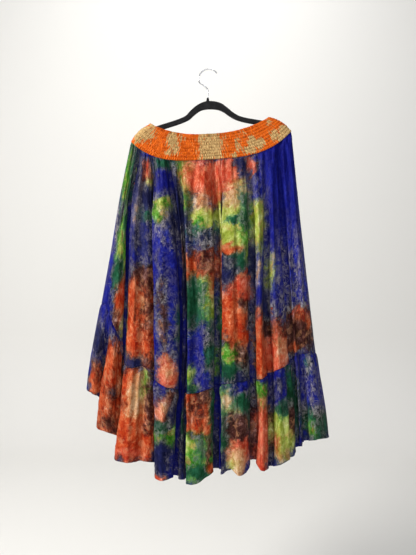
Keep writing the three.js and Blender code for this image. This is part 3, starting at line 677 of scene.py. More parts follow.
def band_grid(columns, down):
    turn = FRONT_LOOP["turn"][0]
    quarter = np.linspace(0, math.pi / 2, 9)[:-1]
    depth = np.concatenate([turn * np.sin(quarter), np.full(columns, turn), turn * np.sin(quarter)[::-1]])
    from_left = turn * (1 - np.cos(quarter))

    def places(edge):
        left = edge[0][0]
        right = edge[1][0]
        face = np.linspace(left + turn, right - turn, columns)
        return np.concatenate([left + from_left, face, right - from_left[::-1]])

    top_x = places(BAND_TOP)
    foot_x = places(BAND_FOOT)
    d = down[:, None]
    x = top_x + (foot_x - top_x) * d
    z = edge_height(BAND_TOP, top_x) * (1 - d) + edge_height(BAND_FOOT, foot_x) * d
    left = BAND_TOP[0][0] + (BAND_FOOT[0][0] - BAND_TOP[0][0]) * d
    right = BAND_TOP[1][0] + (BAND_FOOT[1][0] - BAND_TOP[1][0]) * d
    across = 2 * (x - left) / (right - left) - 1
    y = -depth - FRONT_LOOP["bow"][0] * (1 - across ** 2) - HALF_SEAM_GAP
    swell = 4 * d * (1 - d) * SIDE_SWELL
    left_swell = np.clip(1 - (x - left) / SWELL_REACH, 0, 1) ** 2 * swell
    right_swell = np.clip(1 - (right - x) / SWELL_REACH, 0, 1) ** 2 * swell
    left_slant = corner_slant(0)
    right_slant = corner_slant(1)
    x = x + left_slant[1] * left_swell - right_slant[1] * right_swell
    z = z - left_slant[0] * left_swell + right_slant[0] * right_swell
    return np.stack([x, y, z], axis=2)


band_edges = band_grid(200, np.array([0.0, 1.0]))
print("band, across its top and its foot:", length_along(band_edges)[:, -1].round())

# %% [markdown]
# The band is shirred: nine rows of elastic thread pull a strip of almost twice the width into
# rows of little puffs. A puff stands up between two rows and is pinched flat on them, and its
# neighbours in the next row are a little out of step. Above the first row the edge stands free
# as a narrow frill.

# %% Shirring
ELASTIC_ROWS = 9
POINTS_PER_ROW = 7
POINTS_PER_PUCKER = 5
STRETCH = 1.9  # how much longer the strip is when it lies flat


def waistband(name, puckers, seed, faces_back):
    down = np.linspace(0, 1, ELASTIC_ROWS * POINTS_PER_ROW + 1)
    grid = band_grid(puckers * POINTS_PER_PUCKER, down)
    cloth, fall = lengths_of(grid)
    row = down * ELASTIC_ROWS
    frill = np.clip(1 - row, 0, 1)
    between = np.maximum(np.abs(np.sin(math.pi * row)) ** 0.55, frill)
    share = (cloth / cloth[-1] * puckers)[None, :]
    step = np.floor(row)[:, None]
    phase = share + 0.9 * soft_noise(share / 2.5, step * 0.7 + 0 * share, seed)
    uneven = 0.7 + 0.5 * soft_noise(share / 1.9, step * 1.3 + 0 * share, seed + 1)
    puff = (0.5 + 0.5 * np.cos(2 * math.pi * phase)) ** 0.6 * uneven
    moved = 0.1 + between[:, None] * (0.2 + 3.8 * puff)
    moved += frill[:, None] ** 2 * 1.3 * soft_noise(share / 1.1, 0 * fall, seed + 2)
    moved *= np.clip(from_sides(cloth, 4), 0.1, 1)
    grid = grid + outward(grid) * moved[:, :, None]
    return sheet(name, grid, cloth * STRETCH, fall, faces_back, SHIRRED), grid


band_front, band_front_grid = waistband(
    "waistband_front_shirring", puckers=92, seed=91, faces_back=False)
band_back, band_back_grid = waistband(
    "waistband_back_shirring", puckers=72, seed=95, faces_back=True)

# %% [markdown]
# Sewing shows as small dashes of thread. A stitch here is a slender diamond with six corners,
# laid along a line on the cloth, and all the stitches of a seam are joined into one mesh. Blue
# thread runs on the ruffle seam and the hem, and orange thread on the rows of elastic.

# %% Stitches
# The two ends of a stitch are corners 0 and 1; 2 to 5 stand round its middle.
STITCH_FACES = [(0, 4, 2), (0, 2, 5), (0, 5, 3), (0, 3, 4), (1, 2, 4), (1, 5, 2), (1, 3, 5), (1, 4, 3)]
SEWING = (2.3, 0.9, 0.28)  # length of a stitch, gap to the next, half its thickness
HEMMING = (2.3, 0.9, 0.26)
SHIRRING = (2.0, 0.6, 0.3)


def sewn_row(name, grid, row, faces_back, lift, stitch):
    """Dashes of thread along one row of a grid, a little above the cloth."""
    length, gap, radius = stitch
    flip = (1, -1, 1) if faces_back else (1, 1, 1)
    facing = (outward(grid)[row] * flip)[3:-3]
    points = (grid[row] * flip)[3:-3] + facing * lift
    at = np.concatenate([[0], np.cumsum(np.linalg.norm(np.diff(points, axis=0), axis=1))])
    starts = np.arange(2, at[-1] - length - 2, length + gap)

    def on_line(values, where):
        return np.stack([np.interp(where, at, values[:, k]) for k in range(3)], axis=1)

    a = on_line(points, starts)
    b = on_line(points, starts + length)
    out = on_line(facing, starts + length / 2)
    out /= np.linalg.norm(out, axis=1, keepdims=True)
    along = (b - a) / np.linalg.norm(b - a, axis=1, keepdims=True)
    side = np.cross(along, out) * radius
    middle = (a + b) / 2
    ring = [middle + out * radius * 1.3, middle - out * radius, middle + side, middle - side]
    corners = np.stack([a, b, *ring], axis=1)
    faces = (np.array(STITCH_FACES)[None] + 6 * np.arange(len(a))[:, None, None]).reshape(-1, 3)
    thread = new_piece(name, corners.reshape(-1, 3), faces.tolist())
    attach(thread, "root")
    return thread


SEAM_ROW = -2  # rows of the grids, counted from their lower edge
HEM_ROW = -7
SEAM_LIFT = 0.1  # how far a thread stands off the cloth
ELASTIC_LIFT = 0.15
seam_threads = [
    sewn_row("ruffle_seam_stitches_front", skirt_front_grid, SEAM_ROW, False, SEAM_LIFT, SEWING),
    sewn_row("ruffle_seam_stitches_back", skirt_back_grid, SEAM_ROW, True, SEAM_LIFT, SEWING),
    sewn_row("hem_stitches_front", ruffle_front_grid, HEM_ROW, False, SEAM_LIFT, HEMMING),
    sewn_row("hem_stitches_back", ruffle_back_grid, HEM_ROW, True, SEAM_LIFT, HEMMING),
]
elastic_threads = []
for k in range(1, ELASTIC_ROWS):
    for side, grid, faces_back in (("front", band_front_grid, False), ("back", band_back_grid, True)):
        name = f"elastic_{side}_{k}"
        row = POINTS_PER_ROW * k
        elastic_threads.append(sewn_row(name, grid, row, faces_back, ELASTIC_LIFT, SHIRRING))
print("thread pieces:", len(seam_threads) + len(elastic_threads))

# %% [markdown]
# The hanger is a flat bar, rounded all round and covered with flock, that dips at both shoulders
# and rises to a neck. It is lofted: one rounded section is carried along the middle line of its
# outline and scaled to the depth there. The same loft, with a round section, bends the hook.

# %% Loft helper
def loft(name, middle, across, half_wide, half_deep, power, sides):
    """A closed tube round the middle line. across is the level direction the depth runs in."""
    angle = np.linspace(0, 2 * math.pi, sides, endpoint=False)
    round_y = np.sign(np.sin(angle)) * np.abs(np.sin(angle)) ** (2 / power)
    round_d = np.sign(np.cos(angle)) * np.abs(np.cos(angle)) ** (2 / power)
    rings = (middle[:, None, :] + across[:, None, :] * (round_d * half_deep[:, None])[:, :, None]
             + np.array([0, 1, 0]) * (round_y * half_wide[:, None])[:, :, None])
    count = len(middle)
    corner = np.arange(count * sides).reshape(count, sides)
    ahead = np.roll(corner, -1, axis=1)
    quads = np.stack([corner[:-1], ahead[:-1], ahead[1:], corner[1:]], axis=2).reshape(-1, 4).tolist()
    caps = [corner[0, ::-1].tolist(), corner[-1].tolist()]
    piece = new_piece(name, rings.reshape(-1, 3), quads + caps)
    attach(piece, "root")
    print(name, count, "rings of", sides)
    return piece


def through(points, per_interval):
    """A smooth line through the points, straight on at its two ends."""
    points = np.array(points, float)
    guide = np.concatenate([[2 * points[0] - points[1]], points, [2 * points[-1] - points[-2]]])
    return spline_rows(guide[None], [per_interval] * (len(points) - 1))[0]


def square_to(line):
    along = np.gradient(line[:, :3], axis=0)
    along /= np.linalg.norm(along, axis=1, keepdims=True)
    return np.stack([-along[:, 2], 0 * along[:, 0], along[:, 0]], axis=1)


def rounded_end(from_end, reach, least):
    """1 along a bar and less over its last sections, like a quarter circle."""
    return np.sqrt(np.clip(1 - (1 - np.clip(from_end / reach, 0, 1)) ** 2, least, 1))


# %% [markdown]
# The bar's middle line is a list of points along the real shape: low at the tips,
# straight down both shoulders and high at the neck.

# %% Hanger bar
# Columns: x, z of the middle of the bar, depth of the bar
HANGER_LINE = [
    (-192, -182.3, 8), (-180, -173, 12), (-142, -159, 14), (-58, -129, 15), (-42, -114, 17),
    (-25, -101, 19), (-3, -94, 23), (27, -96.5, 21), (45, -106, 17), (63, -119, 15),
    (84, -129, 14), (144, -140.5, 14), (192, -149, 12), (205, -156.5, 8),
]
BAR_HALF_WIDE = 2.8
ELLIPSE = 2  # powers of the section: more is boxier
ROUNDED_BOX = 3.2
SIDES = 20
bar = through([(x, 0, z, deep) for x, z, deep in HANGER_LINE], 8)
tip = np.minimum(np.arange(len(bar)), np.arange(len(bar))[::-1])
rounding = rounded_end(tip, reach=4, least=0.04)
hanger_bar = loft("hanger_bar", bar[:, :3], square_to(bar), BAR_HALF_WIDE * rounding,
                  bar[:, 3] / 2 * rounding, ROUNDED_BOX, SIDES)

# %% [markdown]
# A short neck stands on the bar. The wire rises from it, leans left and bends round in one arc
# whose top touches the origin, where the hanger bears on its rail.

# %% Neck and hook
NECK_X = -2
NECK_TOP = -75.0
neck_z = np.array([-90, -86, -82, -79, -76.5, -75.4, NECK_TOP])
neck_deep = np.array([6.4, 5.2, 4.2, 3.6, 3.1, 2.6, 1.9])
neck_wide = np.array([2.8, 2.8, 2.75, 2.7, 2.6, 2.3, 1.8])
neck_line = np.stack([0 * neck_z + NECK_X, 0 * neck_z, neck_z], axis=1)
neck_across = np.broadcast_to([1.0, 0, 0], neck_line.shape)
hanger_neck = loft("hanger_neck", neck_line, neck_across, neck_wide, neck_deep, ROUNDED_BOX, SIDES)

WIRE = 3.4
LOOP_INSIDE = 24.5  # radius of the loop, which bears on the rail at the origin
loop_radius = LOOP_INSIDE + WIRE / 2
turns = np.radians(np.append(np.arange(203, 33, -17), 33))
hook_points = [(NECK_X, 0, -75.4), (NECK_X, 0, -57), (-3.5, 0, -51), (-13, 0, -42.1)]
hook_points += [(loop_radius * math.cos(a), 0, loop_radius * math.sin(a) - LOOP_INSIDE) for a in turns]
hook_line = through(hook_points, 7)
wire = WIRE / 2 * rounded_end(np.arange(len(hook_line))[::-1], reach=3, least=0.06)
hook = loft("hook_wire_bend", hook_line, square_to(hook_line), wire, wire, ELLIPSE, SIDES)

# %% [markdown]
# Crumple dyeing leaves clouds of colour with frosty edges. A table gives each cloud as it lies on
# the hanging skirt: its middle, its half width and half height, its dye and its strength. The
# ground is royal blue. Clouds are laid on one after another, as the dyer pours them: wide ones
# first, then narrow ones down the valleys, mostly of the dark dyes, which paint shade into the
# valleys as well as colour, then the small ones, fold by fold. What a point gets of each dye is
# kept on the mesh, and the shader later breaks up the edges.

# %% Dyes of the front panel
DYES = ["blue", "navy", "green", "pine", "lime", "orange", "coral", "tan", "brown"]
# Columns: x, z, half width, half height, dye, strength
FRONT_SKIRT_DYE = [
    # wide clouds under all the rest
    (-208, -300, 26, 80, "pine", 0.8), (-160, -320, 34, 60, "brown", 0.5),
    (-104, -384, 46, 30, "lime", 0.6), (-64, -320, 26, 76, "pine", 0.6),
    (-10, -430, 50, 36, "pine", 0.6), (90, -330, 40, 74, "tan", 0.5), (96, -420, 52, 66, "lime", 0.8),
    (90, -530, 50, 44, "pine", 0.6), (-14, -640, 44, 90, "pine", 0.6),
    (80, -640, 46, 90, "orange", 0.8), (160, -730, 46, 76, "coral", 0.8),
    (-176, -660, 50, 100, "orange", 0.9), (62, -784, 40, 38, "pine", 0.8),
    (172, -740, 54, 84, "orange", 0.8), (246, -690, 50, 50, "brown", 0.8),
    (-236, -500, 20, 90, "pine", 0.6),
    # down the valleys: the navy, pine and brown clouds here are painted shade as well as dye
    (-76, -360, 16, 60, "navy", 0.9), (-72, -470, 16, 60, "navy", 1.0),
    (-68, -580, 16, 60, "navy", 0.9), (-66, -690, 16, 60, "pine", 0.8),
    (-64, -790, 16, 50, "navy", 0.9), (32, -470, 14, 60, "orange", 0.8),
    (32, -570, 14, 50, "brown", 0.6), (33, -660, 14, 50, "green", 0.8),
    (-211, -400, 14, 60, "pine", 0.9), (-214, -500, 14, 60, "green", 0.9),
    (-216, -600, 14, 50, "brown", 0.7), (-217, -690, 14, 60, "pine", 0.8),
    (-118, -640, 12, 90, "brown", 0.7), (118, -520, 12, 60, "navy", 0.8),
    (157, -640, 12, 70, "navy", 0.8),
    # left side
    (-228, -262, 14, 60, "pine", 1.0), (-212, -290, 12, 90, "green", 0.8),
    (-232, -430, 14, 60, "green", 0.7), (-236, -400, 10, 40, "navy", 0.6),
    (-226, -495, 12, 34, "lime", 0.9), (-240, -545, 12, 30, "pine", 0.9),
    (-228, -625, 20, 52, "orange", 1.0), (-218, -600, 12, 24, "coral", 0.8),
    (-218, -690, 12, 34, "lime", 0.7), (-238, -660, 12, 30, "tan", 0.5),
    (-262, -690, 14, 30, "brown", 0.8), (-206, -735, 10, 40, "orange", 0.6),
    # second and third folds
    (-178, -330, 14, 50, "tan", 0.5), (-152, -345, 12, 44, "lime", 0.5),
    (-186, -440, 14, 40, "tan", 0.4), (-196, -300, 8, 60, "navy", 0.7), (-186, -372, 8, 36, "tan", 0.8),
    (-166, -268, 20, 26, "coral", 0.7), (-150, -300, 12, 26, "lime", 0.6),
    (-166, -350, 22, 30, "navy", 0.8), (-158, -392, 18, 14, "pine", 0.9),
    (-172, -455, 34, 44, "navy", 0.6), (-166, -548, 30, 24, "brown", 0.9),
    (-172, -600, 34, 30, "orange", 0.8), (-176, -668, 36, 66, "orange", 1.0),
    (-172, -650, 30, 70, "brown", 0.2), (-150, -650, 16, 80, "brown", 0.5),
    (-168, -620, 12, 30, "tan", 0.6), (-150, -745, 24, 34, "orange", 0.9),
    (-184, -770, 22, 12, "navy", 0.8), (-140, -775, 20, 30, "brown", 0.5),
    # blue fold and the left valley
    (-118, -256, 22, 16, "pine", 0.9), (-86, -286, 12, 24, "navy", 0.6),
    (-112, -360, 24, 22, "lime", 0.8), (-134, -392, 8, 20, "green", 0.8),
    (-104, -392, 12, 16, "tan", 0.6), (-96, -350, 12, 14, "green", 0.9),
    (-104, -425, 22, 18, "tan", 0.45), (-84, -425, 16, 40, "navy", 0.9),
    (-64, -490, 10, 50, "brown", 0.8), (-106, -800, 26, 40, "coral", 1.0),
    (-96, -790, 14, 26, "tan", 0.6), (-128, -690, 10, 22, "tan", 0.5),
    (-66, -268, 16, 30, "green", 1.0), (-52, -300, 14, 44, "lime", 0.8),
    (-58, -370, 16, 24, "green", 0.7), (-62, -395, 14, 18, "navy", 0.7),
    # centre
    (2, -284, 46, 44, "coral", 1.0), (20, -320, 30, 36, "coral", 0.9), (-24, -352, 20, 22, "tan", 0.7),
    (8, -372, 34, 16, "tan", 0.5), (-20, -392, 24, 16, "lime", 0.8), (14, -400, 26, 26, "lime", 1.0),
    (-30, -408, 14, 10, "green", 0.9), (28, -400, 10, 60, "lime", 0.8),
    (-14, -436, 44, 16, "pine", 0.6), (-14, -452, 46, 20, "navy", 0.55),
    (-20, -525, 50, 38, "orange", 1.0), (14, -520, 26, 34, "coral", 0.8),
    (2, -512, 22, 26, "brown", 0.5), (-34, -572, 24, 12, "tan", 0.5), (-38, -630, 24, 56, "pine", 1.0),
    (2, -610, 22, 50, "lime", 0.6), (10, -640, 22, 60, "pine", 0.5), (22, -590, 10, 30, "orange", 0.6),
    (8, -690, 18, 40, "green", 0.6), (-16, -740, 44, 50, "blue", 0.9), (24, -760, 12, 60, "navy", 0.7),
    (-50, -815, 16, 28, "green", 0.9), (-46, -800, 12, 14, "lime", 0.6),
    (-40, -838, 22, 12, "pine", 0.8), (31, -612, 9, 30, "orange", 0.8), (30, -720, 9, 80, "pine", 0.8),
    (16, -629, 12, 44, "lime", 0.6), (18, -751, 12, 50, "pine", 0.8), (27, -775, 10, 40, "green", 0.7),
    (8, -306, 40, 56, "orange", 0.4),
    # right folds
    (64, -262, 30, 24, "coral", 0.9), (92, -258, 12, 20, "navy", 1.0),
    (114, -256, 14, 22, "coral", 0.8), (60, -310, 18, 34, "coral", 0.7),
    (84, -312, 22, 22, "lime", 0.5), (92, -330, 22, 26, "tan", 0.8), (66, -350, 20, 16, "tan", 0.7),
    (104, -345, 14, 26, "pine", 0.6), (74, -378, 30, 16, "tan", 0.6), (70, -420, 34, 50, "lime", 1.0),
    (64, -402, 12, 9, "pine", 0.8), (110, -410, 16, 36, "pine", 0.9), (104, -440, 12, 20, "green", 0.8),
    (58, -482, 16, 16, "orange", 0.9), (40, -530, 22, 26, "navy", 0.8), (86, -515, 22, 18, "pine", 0.9),
    (110, -500, 10, 20, "lime", 0.6), (70, -556, 34, 28, "navy", 0.6),
    (100, -570, 24, 30, "coral", 0.8), (110, -590, 22, 24, "coral", 1.0),
    (56, -590, 20, 22, "coral", 0.6), (64, -650, 30, 44, "orange", 1.0),
    (90, -700, 24, 36, "orange", 0.9), (118, -650, 20, 34, "navy", 0.6),
    (106, -620, 12, 16, "brown", 0.7), (56, -757, 20, 26, "green", 1.0),
    (76, -795, 26, 18, "pine", 0.9), (92, -812, 18, 12, "navy", 0.7), (96, -765, 14, 26, "brown", 0.7),
    (140, -690, 20, 40, "coral", 0.9), (140, -750, 24, 70, "orange", 1.0),
    (176, -745, 34, 40, "coral", 0.9), (196, -735, 20, 26, "tan", 0.6),
    (160, -690, 20, 20, "brown", 0.5), (124, -330, 12, 34, "blue", 0.8),
    (140, -425, 20, 56, "lime", 0.8), (148, -400, 12, 30, "tan", 0.5), (136, -410, 20, 56, "lime", 0.7),
    (162, -535, 22, 46, "lime", 0.8), (170, -500, 14, 20, "tan", 0.4), (134, -540, 12, 26, "tan", 0.7),
    (240, -640, 34, 18, "coral", 0.8), (246, -668, 30, 16, "orange", 0.9),
    (244, -700, 36, 30, "brown", 0.9), (232, -735, 20, 14, "orange", 0.7),
    (276, -655, 14, 26, "orange", 0.6),
]
print("clouds on the front panel:", len(FRONT_SKIRT_DYE))

# %% [markdown]
# The ruffle is cut from other stretches of the same cloth, so its clouds don't carry on from the
# panel above: the colour jumps at the seam. The back has wider clouds of the same dyes.

# %% Dyes of the ruffles and the back
FRONT_RUFFLE_DYE = [
    # wide clouds under all the rest
    (-270, -880, 60, 110, "orange", 0.9), (-185, -920, 60, 110, "orange", 1.0),
    (-115, -900, 34, 54, "brown", 0.6), (-108, -960, 34, 44, "pine", 0.7),
    (-20, -890, 48, 60, "orange", 0.9), (-18, -1020, 50, 60, "green", 0.9),
    (36, -930, 30, 100, "pine", 0.9), (85, -900, 40, 60, "pine", 0.6),
    (85, -1010, 40, 50, "coral", 0.8), (138, -960, 36, 100, "coral", 0.8),
    (196, -960, 50, 64, "lime", 0.9), (236, -880, 26, 70, "pine", 0.8),
    # the brown cloud at (-218, -900) and the narrow ones after it, down to (170, -960), lie down the
    # valleys: painted shade as well as dye
    (292, -940, 50, 40, "pine", 0.8), (-218, -900, 16, 80, "brown", 0.8),
    (-70, -880, 16, 40, "navy", 0.9), (-66, -960, 16, 50, "pine", 0.8),
    (-64, -1040, 16, 40, "navy", 0.9), (-115, -1000, 12, 60, "navy", 0.7),
    (122, -960, 14, 70, "brown", 0.7), (170, -960, 14, 80, "brown", 0.5),
    (-190, -940, 40, 60, "tan", 0.4),
    # left side and the folds under the orange leg
    (-298, -760, 16, 40, "tan", 0.5), (-286, -700, 14, 30, "navy", 0.8),
    (-292, -730, 24, 24, "navy", 0.7), (-300, -790, 14, 24, "brown", 0.5),
    (-290, -835, 30, 18, "orange", 1.0), (-282, -800, 18, 20, "orange", 0.5),
    (-262, -850, 34, 90, "orange", 1.0), (-250, -780, 24, 40, "orange", 0.9),
    (-238, -858, 14, 16, "navy", 0.9), (-262, -900, 34, 46, "orange", 0.9),
    (-262, -880, 26, 60, "brown", 0.3), (-246, -940, 20, 16, "brown", 0.5),
    (-228, -890, 10, 26, "brown", 0.5), (-208, -830, 18, 30, "orange", 1.0),
    (-190, -930, 44, 50, "orange", 1.0), (-178, -852, 22, 44, "tan", 0.95),
    (-166, -838, 10, 34, "lime", 0.6), (-158, -830, 8, 40, "green", 0.6),
    (-176, -905, 20, 20, "tan", 0.5), (-154, -890, 10, 60, "brown", 0.7),
    (-190, -985, 40, 24, "orange", 0.9), (-200, -1010, 36, 14, "coral", 0.8),
    # under the blue fold
    (-115, -890, 24, 30, "coral", 0.9), (-106, -880, 16, 26, "tan", 0.6),
    (-118, -960, 26, 18, "green", 0.8), (-110, -940, 14, 12, "pine", 0.7),
    (-116, -1010, 26, 34, "navy", 0.6), (-124, -1066, 16, 12, "coral", 0.9),
    (-84, -880, 12, 30, "brown", 0.7), (-76, -940, 14, 40, "green", 0.8),
    (-80, -900, 10, 30, "navy", 0.6), (-66, -1010, 20, 30, "navy", 0.5),
    # centre
    (-44, -866, 26, 26, "orange", 1.0), (-4, -866, 20, 30, "brown", 0.9),
    (-28, -905, 34, 26, "orange", 1.0), (-44, -925, 16, 20, "coral", 0.7),
    (-10, -930, 24, 34, "orange", 0.9), (-36, -965, 24, 7, "navy", 0.9),
    (-30, -1010, 34, 40, "green", 1.0), (-44, -985, 20, 16, "lime", 0.7),
    (-10, -1010, 20, 36, "pine", 0.5), (-20, -1056, 30, 16, "pine", 0.9),
    (-20, -895, 30, 34, "brown", 0.4), (10, -1000, 8, 30, "brown", 0.7),
    (22, -900, 10, 60, "pine", 0.8), (24, -1000, 10, 40, "navy", 0.7),
    (18, -1040, 12, 12, "orange", 0.7),
    # right folds
    (42, -880, 12, 40, "lime", 0.9), (48, -930, 12, 50, "pine", 0.8), (40, -1030, 12, 24, "navy", 0.9),
    (66, -870, 18, 22, "tan", 0.9), (98, -842, 16, 14, "blue", 0.9), (96, -880, 16, 22, "pine", 0.9),
    (80, -898, 16, 12, "lime", 0.6), (84, -935, 30, 28, "brown", 1.0), (78, -990, 24, 26, "coral", 0.8),
    (80, -1010, 22, 20, "tan", 0.8), (66, -1040, 18, 20, "lime", 0.7), (90, -1040, 14, 14, "tan", 0.8),
    (134, -850, 20, 24, "green", 1.0), (140, -890, 16, 20, "lime", 0.6),
    (138, -960, 28, 56, "coral", 1.0), (136, -1030, 24, 26, "coral", 0.9),
    (120, -900, 10, 40, "pine", 0.6), (176, -830, 26, 24, "navy", 0.5),
    (196, -890, 22, 14, "pine", 0.8), (190, -920, 26, 14, "green", 0.6),
    (196, -960, 40, 36, "lime", 1.0), (178, -985, 16, 24, "coral", 0.6),
    (206, -1010, 24, 14, "tan", 0.5), (230, -840, 14, 44, "pine", 1.0),
    (236, -915, 12, 30, "brown", 0.8), (296, -935, 36, 22, "pine", 1.0),
    (270, -950, 18, 18, "green", 0.8), (262, -780, 12, 30, "pine", 0.5),
]
BACK_SKIRT_DYE = [
    # wide clouds under all the rest
    (-200, -320, 60, 110, "pine", 0.8), (-60, -320, 70, 70, "coral", 0.8),
    (60, -350, 70, 90, "lime", 0.8), (180, -330, 60, 90, "navy", 0.6),
    (-150, -470, 60, 70, "lime", 0.7), (-40, -490, 60, 70, "navy", 0.6),
    (120, -470, 60, 70, "pine", 0.8), (-200, -620, 60, 90, "orange", 0.9),
    (-60, -640, 60, 80, "pine", 0.7), (60, -620, 70, 90, "orange", 0.9),
    (190, -620, 50, 80, "blue", 0.8), (-40, -760, 80, 60, "coral", 0.8),
    (150, -740, 70, 60, "lime", 0.6), (-200, -730, 50, 50, "green", 0.7),
    # smaller ones
    (-215, -280, 22, 90, "green", 0.9), (-170, -300, 26, 50, "coral", 0.9),
    (-128, -290, 22, 60, "lime", 0.8), (-80, -270, 30, 36, "navy", 0.8),
    (-36, -310, 30, 60, "orange", 0.9), (20, -290, 30, 44, "tan", 0.7),
    (66, -320, 26, 60, "green", 0.9), (116, -300, 24, 50, "navy", 0.8),
    (158, -290, 22, 60, "coral", 0.9), (206, -330, 22, 70, "pine", 0.8),
    (-236, -430, 20, 60, "navy", 0.8), (-190, -450, 26, 44, "lime", 0.8),
    (-136, -440, 26, 60, "pine", 0.9), (-76, -430, 28, 44, "coral", 0.9),
    (-6, -440, 30, 50, "lime", 0.9), (60, -450, 24, 50, "navy", 0.8), (110, -430, 30, 40, "tan", 0.7),
    (176, -450, 24, 56, "lime", 0.8), (-228, -590, 22, 70, "orange", 1.0),
    (-160, -560, 20, 50, "brown", 0.7), (-120, -590, 30, 60, "orange", 0.9),
    (-56, -580, 24, 50, "pine", 0.9), (-10, -600, 24, 60, "blue", 0.9),
    (46, -570, 34, 56, "coral", 1.0), (104, -600, 22, 46, "brown", 0.6),
    (150, -590, 22, 50, "green", 0.8), (206, -590, 30, 60, "navy", 0.8),
    (-180, -690, 24, 50, "green", 0.9), (-120, -710, 26, 50, "navy", 0.8),
    (-30, -720, 36, 56, "orange", 1.0), (38, -720, 20, 60, "lime", 0.8),
    (90, -700, 26, 50, "pine", 0.8), (150, -710, 34, 60, "coral", 0.9),
    (240, -700, 22, 44, "pine", 0.9), (-110, -770, 26, 36, "tan", 0.7),
    (92, -780, 26, 30, "green", 0.9),
]
BACK_RUFFLE_DYE = [
    (-240, -830, 80, 110, "pine", 0.8), (-110, -930, 90, 110, "orange", 0.8),
    (40, -950, 80, 110, "lime", 0.8), (190, -920, 80, 100, "coral", 0.8),
    (280, -880, 50, 90, "navy", 0.6), (-270, -760, 26, 44, "pine", 1.0),
    (-236, -850, 30, 40, "pine", 1.0), (-190, -900, 26, 60, "green", 0.8),
    (-150, -980, 26, 50, "orange", 0.9), (-130, -870, 26, 40, "navy", 0.8),
    (-90, -900, 28, 50, "coral", 0.9), (-60, -1010, 26, 40, "tan", 0.7),
    (-40, -900, 20, 40, "brown", 0.7), (-10, -900, 28, 44, "lime", 0.9),
    (30, -1000, 26, 50, "orange", 0.9), (76, -900, 24, 50, "pine", 0.9),
    (80, -1010, 26, 40, "blue", 0.9), (112, -990, 26, 44, "coral", 0.9),
    (156, -880, 26, 44, "tan", 0.7), (176, -980, 24, 40, "green", 0.9),
    (226, -870, 24, 50, "orange", 0.9), (262, -950, 26, 36, "brown", 0.7),
    (300, -880, 24, 50, "green", 0.8),
]
print("clouds on the ruffle and behind:", len(FRONT_RUFFLE_DYE + BACK_SKIRT_DYE + BACK_RUFFLE_DYE))

# %% [markdown]
# In places the dye didn't soak in fully and the cool colours are frosted with pale specks.

# %% Frost
# Columns: x, z, half width, half height, strength
FRONT_FROST = [
    (228, -572, 60, 98, 1.0), (-112, -560, 30, 110, 0.2), (215, -350, 34, 60, 0.03),
    (-256, -420, 18, 90, 0.6), (-118, -440, 20, 40, 0.6), (136, -400, 24, 90, 0.8),
    (284, -850, 40, 80, 0.8), (-14, -440, 36, 30, 0.5), (-14, -760, 36, 60, 0.25),
    (116, -620, 18, 50, 0.6), (-76, -1040, 16, 30, 0.5), (-150, -380, 16, 60, 0.4),
]
BACK_FROST = [
    (-60, -650, 50, 90, 0.8), (150, -560, 50, 80, 0.7), (-180, -540, 40, 60, 0.5),
    (60, -850, 60, 60, 0.5),
]
print("frosted places:", len(FRONT_FROST + BACK_FROST))

# %% [markdown]
# A cloud is poured on flat cloth, so it must not jump over a fold. Its middle is looked up on the
# face that shows there, and its width is measured along the cloth from that point. Cloth hidden
# in a fold uses up the width, so the colour changes abruptly at the edge of a lap.

# %% Dye on the mesh
def faded(reach):
    """1 in the middle of a cloud, falling off softly round its edge, where reach is about 1."""
    return np.exp(-(reach ** 1.2) * 0.6)


def keep_on(piece, name, kind, values):
    """Store a number or a triple for each point of the mesh, for the shader to read."""
    layer = piece.data.attributes.new(name, kind, "POINT")
    field = "vector" if kind == "FLOAT_VECTOR" else "value"
    layer.data.foreach_set(field, values.astype(np.float32).reshape(-1))


CLOSE_BY = 20  # square millimetres further off than the nearest point
FAR_BEHIND = 1e9


class ClothMap:
    """Where each point of a grid lies on its cloth, with a little wander for uneven edges."""

    def __init__(self, grid, wander, seed):
        self.grid = grid
        self.along = length_along(grid)
        u = self.along
        v = grid[:, :, 2]
        sideways = 8 * soft_noise(u / 30, v / 34, seed) + 5 * soft_noise(u / 11, v / 14, seed + 1)
        upright = 12 * soft_noise(u / 24, v / 36, seed + 2) + 7 * soft_noise(u / 10, v / 14, seed + 3)
        self.wander_u = wander * sideways
        self.wander_v = wander * upright

    def cloud(self, x, z, wide, tall):
        apart = (self.grid[:, :, 0] - x) ** 2 + (self.grid[:, :, 2] - z) ** 2
        seen = np.where(apart < apart.min() + CLOSE_BY, self.grid[:, :, 1], FAR_BEHIND)
        row, column = np.unravel_index(np.argmin(seen), seen.shape)
        u = self.along - self.along[:, column:column + 1] + self.wander_u
        v = self.grid[:, :, 2] - z + self.wander_v
        reach = (u / wide) ** 2 / 2.0 + (v / tall) ** 2 / 1.15
        return faded(reach).reshape(-1)


DYE_LAYERS = ["dye_one", "dye_two", "dye_three"]  # three dyes in each, in the order of DYES


def dyed(piece, grid, clouds, frosted, wander, seed):
    cloth_map = ClothMap(grid, wander, seed)
    share = np.zeros((grid.shape[0] * grid.shape[1], len(DYES)))
    share[:, DYES.index("blue")] = 1
    for x, z, wide, tall, dye, strength in clouds:
        cover = strength * cloth_map.cloud(x, z, wide, tall)
        share *= 1 - cover[:, None]
        share[:, DYES.index(dye)] += cover
    frost = np.zeros(len(share))
    for x, z, wide, tall, strength in frosted:
        frost = np.maximum(frost, strength * cloth_map.cloud(x, z, wide, tall))
    for k, name in enumerate(DYE_LAYERS):
        keep_on(piece, name, "FLOAT_VECTOR", share[:, 3 * k:3 * k + 3])
    keep_on(piece, "frost", "FLOAT", frost)
    print(piece.name, "has", len(clouds), "clouds of dye")


